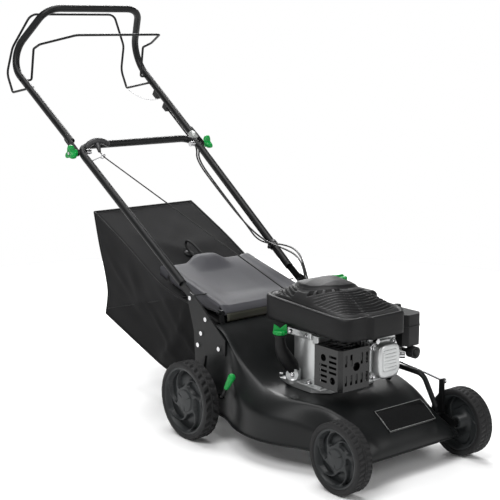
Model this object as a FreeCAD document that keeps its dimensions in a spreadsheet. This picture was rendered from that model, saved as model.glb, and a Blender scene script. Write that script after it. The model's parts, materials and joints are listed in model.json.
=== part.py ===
"""Walk-behind petrol lawn mower with grass bag, as separate named pieces.

Row frame: millimetres, +Z up, ground at z = 0, the mower's front faces -Y, the operator stands at +Y.
"Right" is the operator's right hand side, which is -X.
"""
import FreeCAD, Part
import math
import os
import Sketcher

V = FreeCAD.Vector
doc = FreeCAD.newDocument("lawn_mower")

# ---------------------------------------------------------------- driving dimensions
DRIVING_SIZES = [
    ("rear_wheel_radius", 101.5),
    ("rear_wheel_width", 43.8),
    ("rear_wheel_outside", 276.6),
    ("rear_axle_y", -214.6),
    ("front_wheel_radius", 84.65),
    ("front_wheel_width", 44.2),
    ("front_wheel_outside", 226.2),
    ("front_axle_y", -732.4),
    ("tyre_depth", 14.0),
    ("stub_radius", 6.0),
    ("running_clearance", 0.06),
    ("swing_arm_back", 42.3),
    ("swing_arm_rise", 12.1),
    ("link_arm_height", 85.0),
    ("crank_y", -455.0),
    ("deck_radius", 238.0),
    ("deck_bottom", 58.0),
    ("deck_top", 168.0),
    ("deck_wall", 2.5),
    ("nose_half_width", 172.0),
    ("nose_front", -755.0),
    ("housing_half_width", 190.0),
    ("blade_radius", 225.0),
    ("shaft_radius", 10.0),
    ("tube_radius", 11.0),
    ("tube_wall", 1.5),
    ("bail_radius", 3.6),
    ("cable_radius", 2.5),
    ("plate_thickness", 3.0),
    ("tang_thickness", 5.0),
    ("fold_y", 377.6),
    ("fold_z", 690.0),
    ("knob_length", 26.0),
    ("bag_half_width", 176.0),
    ("bag_wall", 3.0),
    ("flap_half_width", 152.0),
    ("flap_thickness", 4.0),
    ("hinge_y", -222.0),
    ("hinge_z", 318.0),
    ("hinge_rod_radius", 4.0),
    ("shroud_bottom", 317.0),
    ("shroud_top", 378.0),
]
sheet = doc.addObject("Spreadsheet::Sheet", "sizes")
for row, (alias, value) in enumerate(DRIVING_SIZES, 1):
    sheet.set("A%d" % row, alias)
    sheet.set("B%d" % row, str(value))
    sheet.setAlias("B%d" % row, alias)
doc.recompute()


def size(alias):
    """Value of one driving dimension."""
    return float(sheet.get(alias))


nodes = []


def keep(label, obj):
    """Register a finished sub-part under its node name."""
    obj.Label = label
    nodes.append(obj)
    return obj


def feature(label, shape):
    """Sub-part whose shape is made with Part's own functions."""
    obj = doc.addObject("Part::Feature", label)
    obj.Shape = shape
    return keep(label, obj)


# ---------------------------------------------------------------- building helpers
def place(obj, x="0", y="0", z="0", turn=None):
    """Put an object at a position given as expressions, turned about an axis when asked."""
    if turn is not None:
        obj.Placement = FreeCAD.Placement(V(0, 0, 0), FreeCAD.Rotation(turn[0], turn[1]))
    for axis, expression in zip("xyz", (x, y, z)):
        obj.setExpression("Placement.Base." + axis, expression)
    return obj


def origin_plane(body, role):
    for item in body.Origin.OriginFeatures:
        if item.Role == role:
            return item
    raise ValueError(role)


def sketch_in(body, role, outline, circles=()):
    """Closed outline with round holes, drawn on one of the body's own planes."""
    sketch = body.newObject("Sketcher::SketchObject", body.Name + "_sketch")
    sketch.AttachmentSupport = (origin_plane(body, role), [""])
    sketch.MapMode = "FlatFace"
    count = len(outline)
    for i in range(count):
        start = V(outline[i][0], outline[i][1], 0)
        end = V(outline[(i + 1) % count][0], outline[(i + 1) % count][1], 0)
        sketch.addGeometry(Part.LineSegment(start, end), False)
    for i in range(count):
        sketch.addConstraint(Sketcher.Constraint("Coincident", i, 2, (i + 1) % count, 1))
    for across, up, radius in circles:
        geometry = sketch.addGeometry(Part.Circle(V(across, up, 0), V(0, 0, 1), radius), False)
        sketch.addConstraint(Sketcher.Constraint("Radius", geometry, radius))
    return sketch


def turned_body(label, profile):
    """Body of revolution about X; the profile lists (along the axis, radius) points."""
    body = doc.addObject("PartDesign::Body", label)
    sketch = sketch_in(body, "XZ_Plane", profile)
    revolution = body.newObject("PartDesign::Revolution", label + "_turned")
    revolution.Profile = sketch
    revolution.ReferenceAxis = (sketch, ["H_Axis"])
    revolution.Angle = 360.0
    return keep(label, body)


def plate_body(label, outline, holes, thickness, position):
    """Flat plate in the YZ plane, its thickness along +X from the given position."""
    body = doc.addObject("PartDesign::Body", label)
    sketch = sketch_in(body, "YZ_Plane", outline, holes)
    pad = body.newObject("PartDesign::Pad", label + "_pad")
    pad.Profile = sketch
    pad.setExpression("Length", thickness)
    place(body, x=position)
    return keep(label, body)


def prism(outline, low, high, plane="YZ"):
    """Solid made by pushing a closed outline along the axis square to its plane."""
    if plane == "YZ":
        points = [V(low, a, b) for a, b in outline]
        push = V(high - low, 0, 0)
    elif plane == "XZ":
        points = [V(a, low, b) for a, b in outline]
        push = V(0, high - low, 0)
    else:
        points = [V(a, b, low) for a, b in outline]
        push = V(0, 0, high - low)
    wire = Part.makePolygon(points + [points[0]])
    return Part.Face(wire).extrude(push)


def rounded(shape, radius, wanted):
    """Fillet the edges that the given test picks."""
    edges = [edge for edge in shape.Edges if wanted(edge)]
    return shape.makeFillet(radius, edges)


def direction(edge):
    """Unit vector along an edge."""
    line = edge.valueAt(edge.LastParameter) - edge.valueAt(edge.FirstParameter)
    return line.normalize()


def along(edge, axis):
    return abs(direction(edge).dot(axis)) > 0.999


def box(x0, x1, y0, y1, z0, z1):
    return Part.makeBox(x1 - x0, y1 - y0, z1 - z0, V(x0, y0, z0))


def rod(start, end, radius):
    """Round bar between two points."""
    run = end - start
    return Part.makeCylinder(radius, run.Length, start, run)


def bent_path(points, radii):
    """Straight runs joined by tangent arcs, one radius for each inner point."""
    edges = []
    here = points[0]
    for i in range(1, len(points) - 1):
        corner = points[i]
        back = (points[i - 1] - corner).normalize()
        ahead = (points[i + 1] - corner).normalize()
        turn = math.pi - back.getAngle(ahead)
        reach = radii[i - 1] * math.tan(turn / 2)
        start = corner + back * reach
        end = corner + ahead * reach
        bisector = (back + ahead).normalize()
        centre = corner + bisector * (radii[i - 1] / math.cos(turn / 2))
        middle = centre - bisector * radii[i - 1]
        edges.append(Part.LineSegment(here, start).toShape())
        edges.append(Part.Arc(start, middle, end).toShape())
        here = end
    edges.append(Part.LineSegment(here, points[-1]).toShape())
    return Part.Wire(edges)


def pipe(points, radii, radius):
    """Solid round bar along a bent path."""
    path = bent_path(points, radii)
    run = points[1] - points[0]
    ring = Part.Wire([Part.makeCircle(radius, points[0], run)])
    return path.makePipeShell([ring], True, False)


def easy_radii(points, share=0.45):
    """Arcs as large as the shorter neighbouring run allows."""
    radii = []
    for i in range(1, len(points) - 1):
        back = points[i - 1] - points[i]
        ahead = points[i + 1] - points[i]
        turn = math.pi - back.getAngle(ahead)
        radii.append(share * min(back.Length, ahead.Length) / math.tan(turn / 2))
    return radii


def mirrored(points):
    """The same points on the other side of the mower."""
    return [V(-p.x, p.y, p.z) for p in points]


def arch(side, radii):
    """Points and bend radii of a bent bar that is the same on both sides; side starts at the right."""
    points = side + mirrored(side)[::-1]
    return points, radii + radii[::-1]


# ---------------------------------------------------------------- shared places
tube_r = size("tube_radius")
tube_wall = size("tube_wall")
clearance = size("running_clearance")
stub_r = size("stub_radius")
crank = V(0, size("crank_y"), 0)
fold = V(0, size("fold_y"), size("fold_z"))
rear_wheel = V(0, size("rear_axle_y"), size("rear_wheel_radius"))
front_wheel = V(0, size("front_axle_y"), size("front_wheel_radius"))
arm = V(0, size("swing_arm_back"), size("swing_arm_rise"))
rear_pivot = rear_wheel + arm
front_pivot = front_wheel + arm


def leg_point(height):
    """Centre of the right lower handle leg at a height; the leg leans back and outwards."""
    rise = height - 300.0
    return V(-(179.8 + 0.0752 * rise), -208.5 + 1.505 * rise, height)


def upper_leg_point(height):
    """Centre of the right upper handle leg at a height."""
    rise = height - 650.0
    return V(-(211.8 + 0.066 * rise), 316.0 + 1.54 * rise, height)


# ---------------------------------------------------------------- wheels
def wheel(side_name, radius_name, width_name, outside_name, axle_y_name):
    """Tyre and rim of one wheel; the rim's closed cap faces outwards."""
    radius = size(radius_name)
    half = size(width_name) / 2
    bead = radius - size("tyre_depth")
    shoulder = 3.0
    tyre_profile = [
        (-half, bead), (half, bead), (half, radius - shoulder), (half - shoulder, radius),
        (-half + shoulder, radius), (-half, radius - shoulder),
    ]
    ring = bead - 11.0
    hub = 17.0
    bore = stub_r + clearance
    rim_profile = [
        (-18, bore), (16.5, bore), (16.5, 0), (20, 0), (20, hub), (15, hub + 6), (12, ring - 6),
        (18, ring), (20, bead), (-20, bead), (-20, ring + 5), (4, ring), (4, hub), (-18, hub),
    ]
    turn = (V(0, 0, 1), 180.0 if "right" in side_name else 0.0)
    sign = "-" if "right" in side_name else ""
    across = "%s(sizes.%s - sizes.%s / 2)" % (sign, outside_name, width_name)
    for kind, profile in (("tyre", tyre_profile), ("rim", rim_profile)):
        body = turned_body("%s_%s" % (kind, side_name), profile)
        place(body, across, "sizes." + axle_y_name, "sizes." + radius_name, turn)


for side in ("right", "left"):
    wheel("rear_" + side, "rear_wheel_radius", "rear_wheel_width", "rear_wheel_outside", "rear_axle_y")
    wheel("front_" + side, "front_wheel_radius", "front_wheel_width", "front_wheel_outside",
          "front_axle_y")


# ---------------------------------------------------------------- swing axles and height lever
def web(a, b, radius, x0, thickness):
    """Flat link with round ends between two points of a YZ plane."""
    run = b - a
    normal = V(1, 0, 0).cross(run).normalize()
    start = V(x0, a.y, a.z)
    end = V(x0, b.y, b.z)
    corners = [start + normal * radius, end + normal * radius, end - normal * radius,
               start - normal * radius]
    face = Part.Face(Part.makePolygon(corners + [corners[0]]))
    bar = face.extrude(V(thickness, 0, 0))
    for centre in (start, end):
        bar = bar.fuse(Part.makeCylinder(radius, thickness, centre, V(1, 0, 0)))
    return bar


def joined(shapes):
    """One clean solid from overlapping pieces."""
    return shapes[0].multiFuse(shapes[1:]).removeSplitter()


link_rise = V(0, 0, size("link_arm_height"))
crank_plate = 6.0


def swing_axle(pivot, wheel_centre, inner, stub_end, pivot_r, pin_x0, pin_x1):
    """Cross rod in the deck, a crank arm and a stub axle each side, and the link arm on the left."""
    pieces = [rod(V(-inner - 1, pivot.y, pivot.z), V(inner + 1, pivot.y, pivot.z), pivot_r)]
    for x0 in (-inner - crank_plate, inner):
        pieces.append(web(pivot, wheel_centre, 9.0, x0, crank_plate))
    for sign in (-1, 1):
        start = V(sign * (inner + 1), wheel_centre.y, wheel_centre.z)
        pieces.append(rod(start, V(sign * stub_end, wheel_centre.y, wheel_centre.z), stub_r))
    top = pivot + link_rise
    pieces.append(web(pivot, top, 7.0, inner, crank_plate))
    pieces.append(rod(V(pin_x0, top.y, top.z), V(pin_x1, top.y, top.z), 2.5))
    return joined(pieces)


stub_reach = 16.0
rear_stub_end = size("rear_wheel_outside") - size("rear_wheel_width") / 2 + stub_reach
front_stub_end = size("front_wheel_outside") - size("front_wheel_width") / 2 + stub_reach
rear_inner = 206.0
front_inner = 174.0
feature("rear_axle", swing_axle(rear_pivot, rear_wheel, rear_inner, rear_stub_end, 6.0, 199.5, 207.0))
feature("front_axle", swing_axle(front_pivot, front_wheel, front_inner, front_stub_end, 5.0, 179.0, 186.0))

# The lever is a bent flat bar on the rear cross rod, between the bracket and the right rear wheel.
lever_elbow = V(0, -300, 122)
lever_bend = V(-245, -345, 147)
lever_top = V(-245, -378, 196)
lever_parts = [
    web(rear_pivot, lever_elbow, 6.0, -216.0, 4.0),
    rod(V(-215, -298, 122), lever_bend, 4.0),
    rod(lever_bend, lever_top, 4.0),
    Part.makeSphere(4.0, lever_bend),
    rod(V(-216, rear_pivot.y, rear_pivot.z), V(-212, rear_pivot.y, rear_pivot.z), 9.0),
]
feature("height_lever", joined(lever_parts))
grip_axis = (lever_top - lever_bend).normalize()
grip_start = lever_bend + grip_axis * 22.0
grip_body = Part.makeCone(6.0, 9.5, 40.0, grip_start, grip_axis)
grip_end = Part.makeSphere(9.5, grip_start + grip_axis * 40.0)
lever_grip = grip_body.fuse(grip_end).removeSplitter()
feature("lever_grip", lever_grip.cut(rod(lever_bend, lever_top, 4.0)))

rear_pin = rear_pivot + link_rise
front_pin = front_pivot + link_rise
link_points = [
    V(184.0, front_pin.y + 4.5, front_pin.z), V(184.0, -600, 192), V(202.5, -430, 197),
    V(202.5, rear_pin.y - 5, rear_pin.z),
]
link_rod = pipe(link_points, [80.0, 80.0], 3.0)
eyes = []
for pin, x0, x1 in ((front_pin, 181.0, 187.0), (rear_pin, 199.5, 205.5)):
    eyes.append(Part.makeCylinder(7.0, x1 - x0, V(x0, pin.y, pin.z), V(1, 0, 0)))
link_rod = joined([link_rod] + eyes)
for pin in (front_pin, rear_pin):
    link_rod = link_rod.cut(rod(V(170, pin.y, pin.z), V(215, pin.y, pin.z), 2.56))
feature("height_link_rod", link_rod)


# ---------------------------------------------------------------- deck
def deck_solid(inset, floor, rear_extra):
    """Closed body of the deck: round bowl, sloping nose and raised rear housing."""
    top = size("deck_top") - inset
    bowl = Part.makeCylinder(size("deck_radius") - inset, top - floor, V(crank.x, crank.y, floor))
    bowl = rounded(bowl, 38.0 - inset, lambda e: e.Closed and e.BoundBox.ZMin > top - 1)
    nose_w = size("nose_half_width") - inset
    front = size("nose_front") + inset
    nose_outline = [
        (crank.y, floor), (crank.y, top), (-612, top - 2), (-680, top - 24), (front + 20, 108 - inset),
        (front, 84 - inset), (front, floor),
    ]
    nose = prism(nose_outline, -nose_w, nose_w)
    nose = rounded(nose, 24.0, lambda e: along(e, V(0, 0, 1)) and e.BoundBox.YMax < front + 1)
    side_w = size("housing_half_width") - inset
    housing_outline = [
        (crank.y, floor), (crank.y, 150 - inset), (-400, 176 - inset), (-274, 284 - inset),
        (-240, 293 - inset), (-232, 293 - inset), (-140 + rear_extra, floor),
    ]
    if rear_extra:
        housing_outline[5] = (-232 + rear_extra, 293 - inset)
    housing = prism(housing_outline, -side_w, side_w)
    return bowl.fuse(nose).fuse(housing).removeSplitter()


wall = size("deck_wall")
deck = deck_solid(0.0, size("deck_bottom"), 0.0).cut(deck_solid(wall, size("deck_bottom") - 10.0, 12.0))
crank_hole = Part.makeCylinder(22.0, 60.0, V(crank.x, crank.y, 130.0))
deck = deck.cut(crank_hole)
for pivot, radius in ((rear_pivot, 6.0), (front_pivot, 5.0)):
    deck = deck.cut(rod(V(-300, pivot.y, pivot.z), V(300, pivot.y, pivot.z), radius + 0.35))
for y, z in ((-184.4, 262.0), (-170.4, 228.0), (-260.4, 236.0)):
    deck = deck.cut(rod(V(-200, y, z), V(200, y, z), 3.6))
feature("deck_shell", deck)

carry_side = [V(118, -560, 166), V(118, -585, 212), V(128, -672, 206), V(140, -706, 128)]
carry_bar = pipe(carry_side, [16.0, 30.0], 6.5)
feature("front_carry_bar", carry_bar.cut(deck_solid(0.0, 40.0, 0.0)))

# ---------------------------------------------------------------- handle brackets
bolt_upper = leg_point(348.0)
bolt_lower = leg_point(303.0)
bracket_outline = [
    (bolt_upper.y + 4, bolt_upper.z + 15), (bolt_upper.y - 14, bolt_upper.z + 10), (-236, 296),
    (-285, 262), (-285, 222), (-200, 205), (-188, 150), (-188, 98), (-156, 98), (-154, 200),
    (-150, 262), (bolt_upper.y + 14, bolt_upper.z - 6),
]
bracket_holes = [
    (bolt_upper.y, bolt_upper.z, 3.6), (bolt_lower.y, bolt_lower.z, 3.6),
    (-184.4, 262.0, 3.6), (-170.4, 228.0, 3.6), (-260.4, 236.0, 3.6),
    (rear_pivot.y, rear_pivot.z, 6.0 + clearance),
]
plate_body("handle_bracket_left", bracket_outline, bracket_holes, "sizes.plate_thickness", "190")
plate_body("handle_bracket_right", bracket_outline, bracket_holes, "sizes.plate_thickness", "-193")

# Bolts: a domed head outside the bracket, a shank through it, and a nut on the inside.
bolts = []
for sign in (-1, 1):
    out = V(sign, 0, 0)
    for y, z, inner in ((bolt_upper.y, bolt_upper.z, 181.0), (bolt_lower.y, bolt_lower.z, 181.0),
                        (-184.4, 262.0, 184.0), (-170.4, 228.0, 184.0), (-260.4, 236.0, 184.0)):
        head = Part.makeCylinder(6.0, 3.5, V(sign * 193.0, y, z), out)
        shank = Part.makeCylinder(3.5, 193.5 - inner, V(sign * inner, y, z), out)
        bolts.append(head.fuse(shank).removeSplitter())

# ---------------------------------------------------------------- lower handle
tang = size("tang_thickness")
lower_start = leg_point(378.0)
lower_side = [lower_start, leg_point(706.0)]
lower_points, lower_radii = arch(lower_side, [48.0])
lower_solid = pipe(lower_points, lower_radii, tube_r)
lower_tube = lower_solid.cut(pipe(lower_points, lower_radii, tube_r - tube_wall))


lower_pieces = [lower_tube]
for x0 in (-189.8, 189.8 - tang):
    lower_pieces.append(web(leg_point(303.0), leg_point(382.0), 10.5, x0, tang))
lower_handle = joined(lower_pieces)
for y, z in ((bolt_upper.y, bolt_upper.z), (bolt_lower.y, bolt_lower.z)):
    lower_handle = lower_handle.cut(rod(V(-230, y, z), V(230, y, z), 3.6))
fold_bolt_r = 3.5
lower_handle = lower_handle.cut(rod(V(-260, fold.y, fold.z), V(260, fold.y, fold.z), fold_bolt_r + 0.1))
feature("handle_lower", lower_handle)

# ---------------------------------------------------------------- upper handle
upper_start = upper_leg_point(718.0)
upper_side = [upper_start, V(-231.3, 773.0, 946.7), V(-165.0, 632.6, 1103.0)]
upper_points, upper_radii = arch(upper_side, [75.0, 60.0])
upper_solid = pipe(upper_points, upper_radii, tube_r)
upper_tube = upper_solid.cut(pipe(upper_points, upper_radii, tube_r - tube_wall))
upper_pieces = [upper_tube]
tang_low = V(0, fold.y, fold.z)
tang_high = V(0, upper_leg_point(728.0).y, 728.0)
tang_x = 221.0
for x0 in (-tang_x - tang, tang_x):
    upper_pieces.append(web(tang_low, tang_high, 11.0, x0, tang))
upper_handle = joined(upper_pieces)
upper_handle = upper_handle.cut(rod(V(-260, fold.y, fold.z), V(260, fold.y, fold.z), fold_bolt_r + 0.06))

# Bail pivot holes through the legs.
drive_pivot = V(0, upper_leg_point(866.9).y, 866.9)
brake_pivot = V(0, upper_leg_point(887.0).y, 887.0)
bail_r = size("bail_radius")
for pivot in (drive_pivot, brake_pivot):
    pivot_hole = rod(V(-260, pivot.y, pivot.z), V(260, pivot.y, pivot.z), bail_r + clearance)
    upper_handle = upper_handle.cut(pivot_hole)
feature("handle_upper", upper_handle)

# Fold bolts run through both handles; the head sits inside the lower leg.
for sign in (-1, 1):
    out = V(sign, 0, 0)
    head = Part.makeCylinder(7.0, 4.0, V(sign * 178.0, fold.y, fold.z), out)
    saddle = Part.makeCylinder(8.5, 12.0, V(sign * 182.0, fold.y, fold.z), out).cut(lower_solid)
    shank = Part.makeCylinder(fold_bolt_r, 66.0, V(sign * 182.0, fold.y, fold.z), out)
    bolts.append(joined([head, saddle, shank]))
feature("handle_bolts", Part.makeCompound(bolts))


def knob(sign):
    """Three-lobed clamping knob on the fold bolt."""
    out = V(sign, 0, 0)
    base_x = tang_x + tang + 0.5
    base = V(sign * base_x, fold.y, fold.z)
    pieces = [Part.makeCylinder(11.0, 12.0, base, out)]
    for i in range(3):
        angle = math.radians(90 + 120 * i)
        reach = V(0, math.cos(angle), math.sin(angle))
        lobe = Part.makeCylinder(7.5, size("knob_length") - 12.0, base + reach * 17.0 + out * 10.0, out)
        pieces.append(lobe)
        side = V(0, -math.sin(angle), math.cos(angle))
        low = base + out * 8.0
        corners = [low + side * 6, low + reach * 15 + side * 6, low + reach * 15 - side * 6, low - side * 6]
        web_plate = Part.Face(Part.makePolygon(corners + [corners[0]]))
        pieces.append(web_plate.extrude(out * 14.0))
    body = joined(pieces)
    return body.cut(Part.makeCylinder(fold_bolt_r + clearance, 30.0, base - out, out))


feature("knob_right", knob(-1))
feature("knob_left", knob(1))


# ---------------------------------------------------------------- control bails
def bail(side, radii):
    points, all_radii = arch(side, radii)
    return pipe(points, all_radii, size("bail_radius"))



# Both bails turn on pins that enter the inner sides of the legs; the brake bail lies inside the drive bail.
drive_side = [
    V(-222, drive_pivot.y, drive_pivot.z), V(-210, drive_pivot.y, drive_pivot.z), V(-211.5, 784.6, 845),
    V(-212, 817.2, 903), V(-205, 788, 984), V(-152, 760, 1086),
]
feature("drive_bail", bail(drive_side, [5.0, 10.0, 40.0, 60.0, 34.0]))
brake_side = [
    V(-222, brake_pivot.y, brake_pivot.z), V(-200, brake_pivot.y, brake_pivot.z), V(-199, 663, 982),
    V(-202, 618, 996), V(-148, 491, 1024),
]
feature("brake_bail", bail(brake_side, [6.0, 9.0, 40.0, 16.0]))

# Cable brackets clamped under the left leg, one below each bail's cable.
def leg_clamp(height, length, drop):
    """Block under the left upper leg, cut to the leg's round."""
    centre = upper_leg_point(height)
    low = V(-centre.x, centre.y, centre.z)
    run = (upper_leg_point(height + 10) - upper_leg_point(height)).normalize()
    run = V(-run.x, run.y, run.z)
    below = V(0, run.z, -run.y).normalize()
    across = run.cross(below)
    start = low - run * (length / 2) + below * 4 - across * 9
    corners = [start, start + across * 18, start + across * 18 + below * drop, start + below * drop]
    block = Part.Face(Part.makePolygon(corners + [corners[0]])).extrude(run * length)
    return block.cut(upper_solid)


def below_leg(point, gap, side_shift):
    """Point beside the left leg: below its tube by a gap and shifted along X."""
    return V(-point.x + side_shift, point.y + 0.545 * gap, point.z - 0.838 * gap)


# ---------------------------------------------------------------- cables along the left leg
cable_r = size("cable_radius")
cable_gap = tube_r + cable_r + 1.0
upper_cables = []
lower_cables = []
clamps = []
for shift, top_height in ((-4.5, 812.0), (4.5, 850.0)):
    start = below_leg(upper_leg_point(top_height), cable_gap, shift)
    end = below_leg(upper_leg_point(700.0), cable_gap, shift)
    upper_cables.append(rod(start, end, cable_r))
    clamps.append(leg_clamp(top_height - 6.0, 24.0, 21.0))
feature("cables_upper", Part.makeCompound(upper_cables))
clamp_blocks = Part.makeCompound(clamps)
for cable in upper_cables:
    clamp_blocks = clamp_blocks.cut(cable)
feature("cable_brackets", clamp_blocks)

cable_routes = [
    [below_leg(upper_leg_point(699.5), cable_gap, -4.5),
     below_leg(upper_leg_point(688.0), cable_gap, -4.5), V(193, 365, 640), V(186, 250, 565),
     V(181, 110, 478), V(170, 5, 440), V(154, -104, 435), V(106, -220, 438), V(62, -300, 415),
     V(52, -318, 372)],
    [below_leg(upper_leg_point(699.5), cable_gap, 4.5),
     below_leg(upper_leg_point(688.0), cable_gap, 4.5), V(202, 367, 640), V(196, 252, 563),
     V(190, 112, 472), V(182, 40, 428), V(164, -92, 444), V(118, -204, 450), V(76, -282, 428),
     V(64, -312, 385)],
]
for route in cable_routes:
    lower_cables.append(pipe(route, easy_radii(route, 0.42), cable_r))
feature("cables_lower", Part.makeCompound(lower_cables))

wire_end = V(213.5, 776.5, 839.5)
wire_mid = V(214.0, 680.0, 800.0)
wire_start = below_leg(upper_leg_point(836.0), 24.0, 0.0)
feature("drive_wire", pipe([wire_end, wire_mid, wire_start], [120.0], 0.9))

# ---------------------------------------------------------------- recoil starter rope
guide = V(-184.0, 300.0, 684.0)
rope_out = V(-80.0, -390.0, 398.0)
starter_rope = pipe([rope_out, guide, V(-176, 331, 694)], [12.0], 1.8)
feature("starter_rope", starter_rope)
ring = Part.makeTorus(7.0, 1.6, guide, rope_out - guide)
stem_top = guide + V(-7.0, 2.0, -3.0)
stem = rod(stem_top, V(-204.0, 333.0, 668.0), 1.6)
feature("rope_guide", ring.fuse(stem).removeSplitter().cut(lower_solid))

grip_path = [V(-197, 366, 706), V(-180, 366, 718), V(-142, 366, 718), V(-122, 366, 708)]
starter_bar = pipe(grip_path, [24.0, 24.0], 9.0)
starter_stem = Part.makeCone(5.0, 8.0, 34.0, V(-176.0, 331.0, 694.0), V(8.0, 30.0, 20.0))
feature("starter_grip", starter_bar.fuse(starter_stem).removeSplitter().cut(starter_rope))

# ---------------------------------------------------------------- rear flap
flap_w = size("flap_half_width")
flap_t = size("flap_thickness")
hinge = V(0, size("hinge_y"), size("hinge_z"))
hinge_r = size("hinge_rod_radius")
flap_rear = V(0, 64.0, 398.0)
flap_front = V(0, -212.0, 331.0)
flap_skin = [
    (flap_front.y, flap_front.z), (flap_rear.y, flap_rear.z), (flap_rear.y + 1, flap_rear.z - flap_t),
    (flap_front.y + 1, flap_front.z - flap_t),
]
flap_skirt = [
    (flap_front.y, flap_front.z), (flap_rear.y, flap_rear.z), (flap_rear.y + 2, flap_rear.z - 24),
    (-60, 335), (-150, 312), (-190, 310),
]
flap_pieces = [prism(flap_skin, -flap_w, flap_w)]
for x0 in (-flap_w, flap_w - flap_t):
    flap_pieces.append(prism(flap_skirt, x0, x0 + flap_t))
flap_pieces.append(rod(V(-flap_w, hinge.y, hinge.z), V(flap_w, hinge.y, hinge.z), 9.0))
roll = [(hinge.y - 6, hinge.z + 6), (flap_front.y, flap_front.z), (flap_front.y + 6, flap_front.z - 5),
        (hinge.y + 6, hinge.z - 4)]
flap_pieces.append(prism(roll, -flap_w, flap_w))
flap = joined(flap_pieces)
flap = flap.cut(rod(V(-200, hinge.y, hinge.z), V(200, hinge.y, hinge.z), hinge_r + clearance))
feature("rear_flap", flap)
hinge_bar = rod(V(-168, hinge.y, hinge.z), V(168, hinge.y, hinge.z), hinge_r)
ears = [hinge_bar]
for x0 in (-162, 156):
    ear = prism([(hinge.y - 8, hinge.z + 8), (hinge.y + 8, hinge.z + 8), (hinge.y + 2, 291),
                 (hinge.y - 16, 291)], x0, x0 + 6)
    ears.append(ear.cut(deck))
feature("flap_hinge_rod", joined(ears))

# ---------------------------------------------------------------- grass bag
bag_w = size("bag_half_width")
bag_t = size("bag_wall")
bag_outline = [
    (-202, 288), (-100, 318), (40, 356), (368, 514), (377, 506), (318, 330), (300, 288), (318, 222),
    (312, 212), (10, 118), (-128, 110), (-134, 116),
]


def shrunk(outline, amount):
    """Outline moved inwards by an amount, corner by corner."""
    count = len(outline)
    result = []
    for i in range(count):
        before = V(outline[i - 1][0], outline[i - 1][1], 0)
        here = V(outline[i][0], outline[i][1], 0)
        after = V(outline[(i + 1) % count][0], outline[(i + 1) % count][1], 0)
        first = (here - before).normalize()
        second = (after - here).normalize()
        inward_a = V(first.y, -first.x, 0)
        inward_b = V(second.y, -second.x, 0)
        middle = (inward_a + inward_b).normalize()
        moved = here + middle * (amount / max(0.5, middle.dot(inward_a)))
        result.append((moved.x, moved.y))
    return result


bag_inner = shrunk(bag_outline, bag_t)
bag_inner_open = bag_inner[:-1] + [(-134 - 20, 116), (-202 - 20, 284)]
bag_inner_open = bag_inner_open[1:]
bag = prism(bag_outline, -bag_w, bag_w).cut(prism(bag_inner_open, -bag_w + bag_t, bag_w - bag_t))
feature("grass_bag", bag)

frame_r = 3.5
frame_w = bag_w - bag_t - frame_r - 0.3
mouth_top = V(-frame_w, -188, 284)
mouth_low = V(-frame_w, -124, 122)
frame_loop = [V(0, mouth_top.y, mouth_top.z), mouth_top, mouth_low]
frame_points = frame_loop + [V(frame_w, mouth_low.y, mouth_low.z), V(frame_w, mouth_top.y, mouth_top.z),
                             V(10, mouth_top.y, mouth_top.z)]
bag_frame = pipe(frame_points, [20.0] * 4, frame_r)
feature("bag_frame", bag_frame)

# ---------------------------------------------------------------- engine
def plan_outline(x0, x1, y0, y1, cut):
    """Rectangle in plan with its corners cut off."""
    return [(x0 + cut, y0), (x1 - cut, y0), (x1, y0 + cut), (x1, y1 - cut), (x1 - cut, y1),
            (x0 + cut, y1), (x0, y1 - cut), (x0, y0 + cut)]


deck_top = size("deck_top")
shaft_r = size("shaft_radius")
base_plate = prism(plan_outline(-112, 100, -560, -350, 35), deck_top, deck_top + 12, "XY")
case = Part.makeCylinder(80.0, 128.0, V(crank.x, crank.y, deck_top + 4))
case = rounded(case, 10.0, lambda e: e.Closed and e.BoundBox.ZMin > deck_top + 131)
oil_boss = Part.makeCylinder(19.0, 34.0, V(-100, -445, deck_top + 6))
crankcase = joined([base_plate, case, oil_boss])
shaft_bore = Part.makeCylinder(shaft_r + clearance, 200.0, V(crank.x, crank.y, 150.0))
filler_hole = Part.makeCylinder(12.0, 20.0, V(-100, -445, 190))
crankcase = crankcase.cut(shaft_bore).cut(filler_hole)
feature("engine_crankcase", crankcase.cut(deck_solid(0.0, 40.0, 0.0)))

cylinder_parts = [box(-8, 70, -560, -536, 206, 304)]
for i in range(6):
    cylinder_parts.append(box(-14, 76, -562 - 11 * i - 6, -562 - 11 * i, 200, 310))
cylinder_parts.append(box(-4, 66, -624, -556, 212, 298))
cylinder = joined(cylinder_parts)
cylinder = cylinder.cut(Part.makeCylinder(80.2, 200.0, V(crank.x, crank.y, 150.0)))
plug_in = V(58, -604, 252)
plug_out = V(98, -637, 252)
plug_run = (plug_out - plug_in).normalize()
spark_hole = rod(plug_in - plug_run * 2, plug_out, 5.2)
feature("engine_cylinder", cylinder.cut(spark_hole))
cover = prism([(-14, 218), (-6, 208), (54, 208), (62, 218), (62, 286), (48, 300), (2, 300), (-14, 284)],
              -662, -624, "XZ")
cover = rounded(cover, 6.0, lambda e: e.BoundBox.YMax < -661)
feature("valve_cover", cover)
plug = rod(plug_in, plug_out, 5.0)
plug_cap = rod(plug_out - plug_run * 22, plug_out, 8.0)
feature("spark_plug", plug.fuse(plug_cap).removeSplitter())

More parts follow.
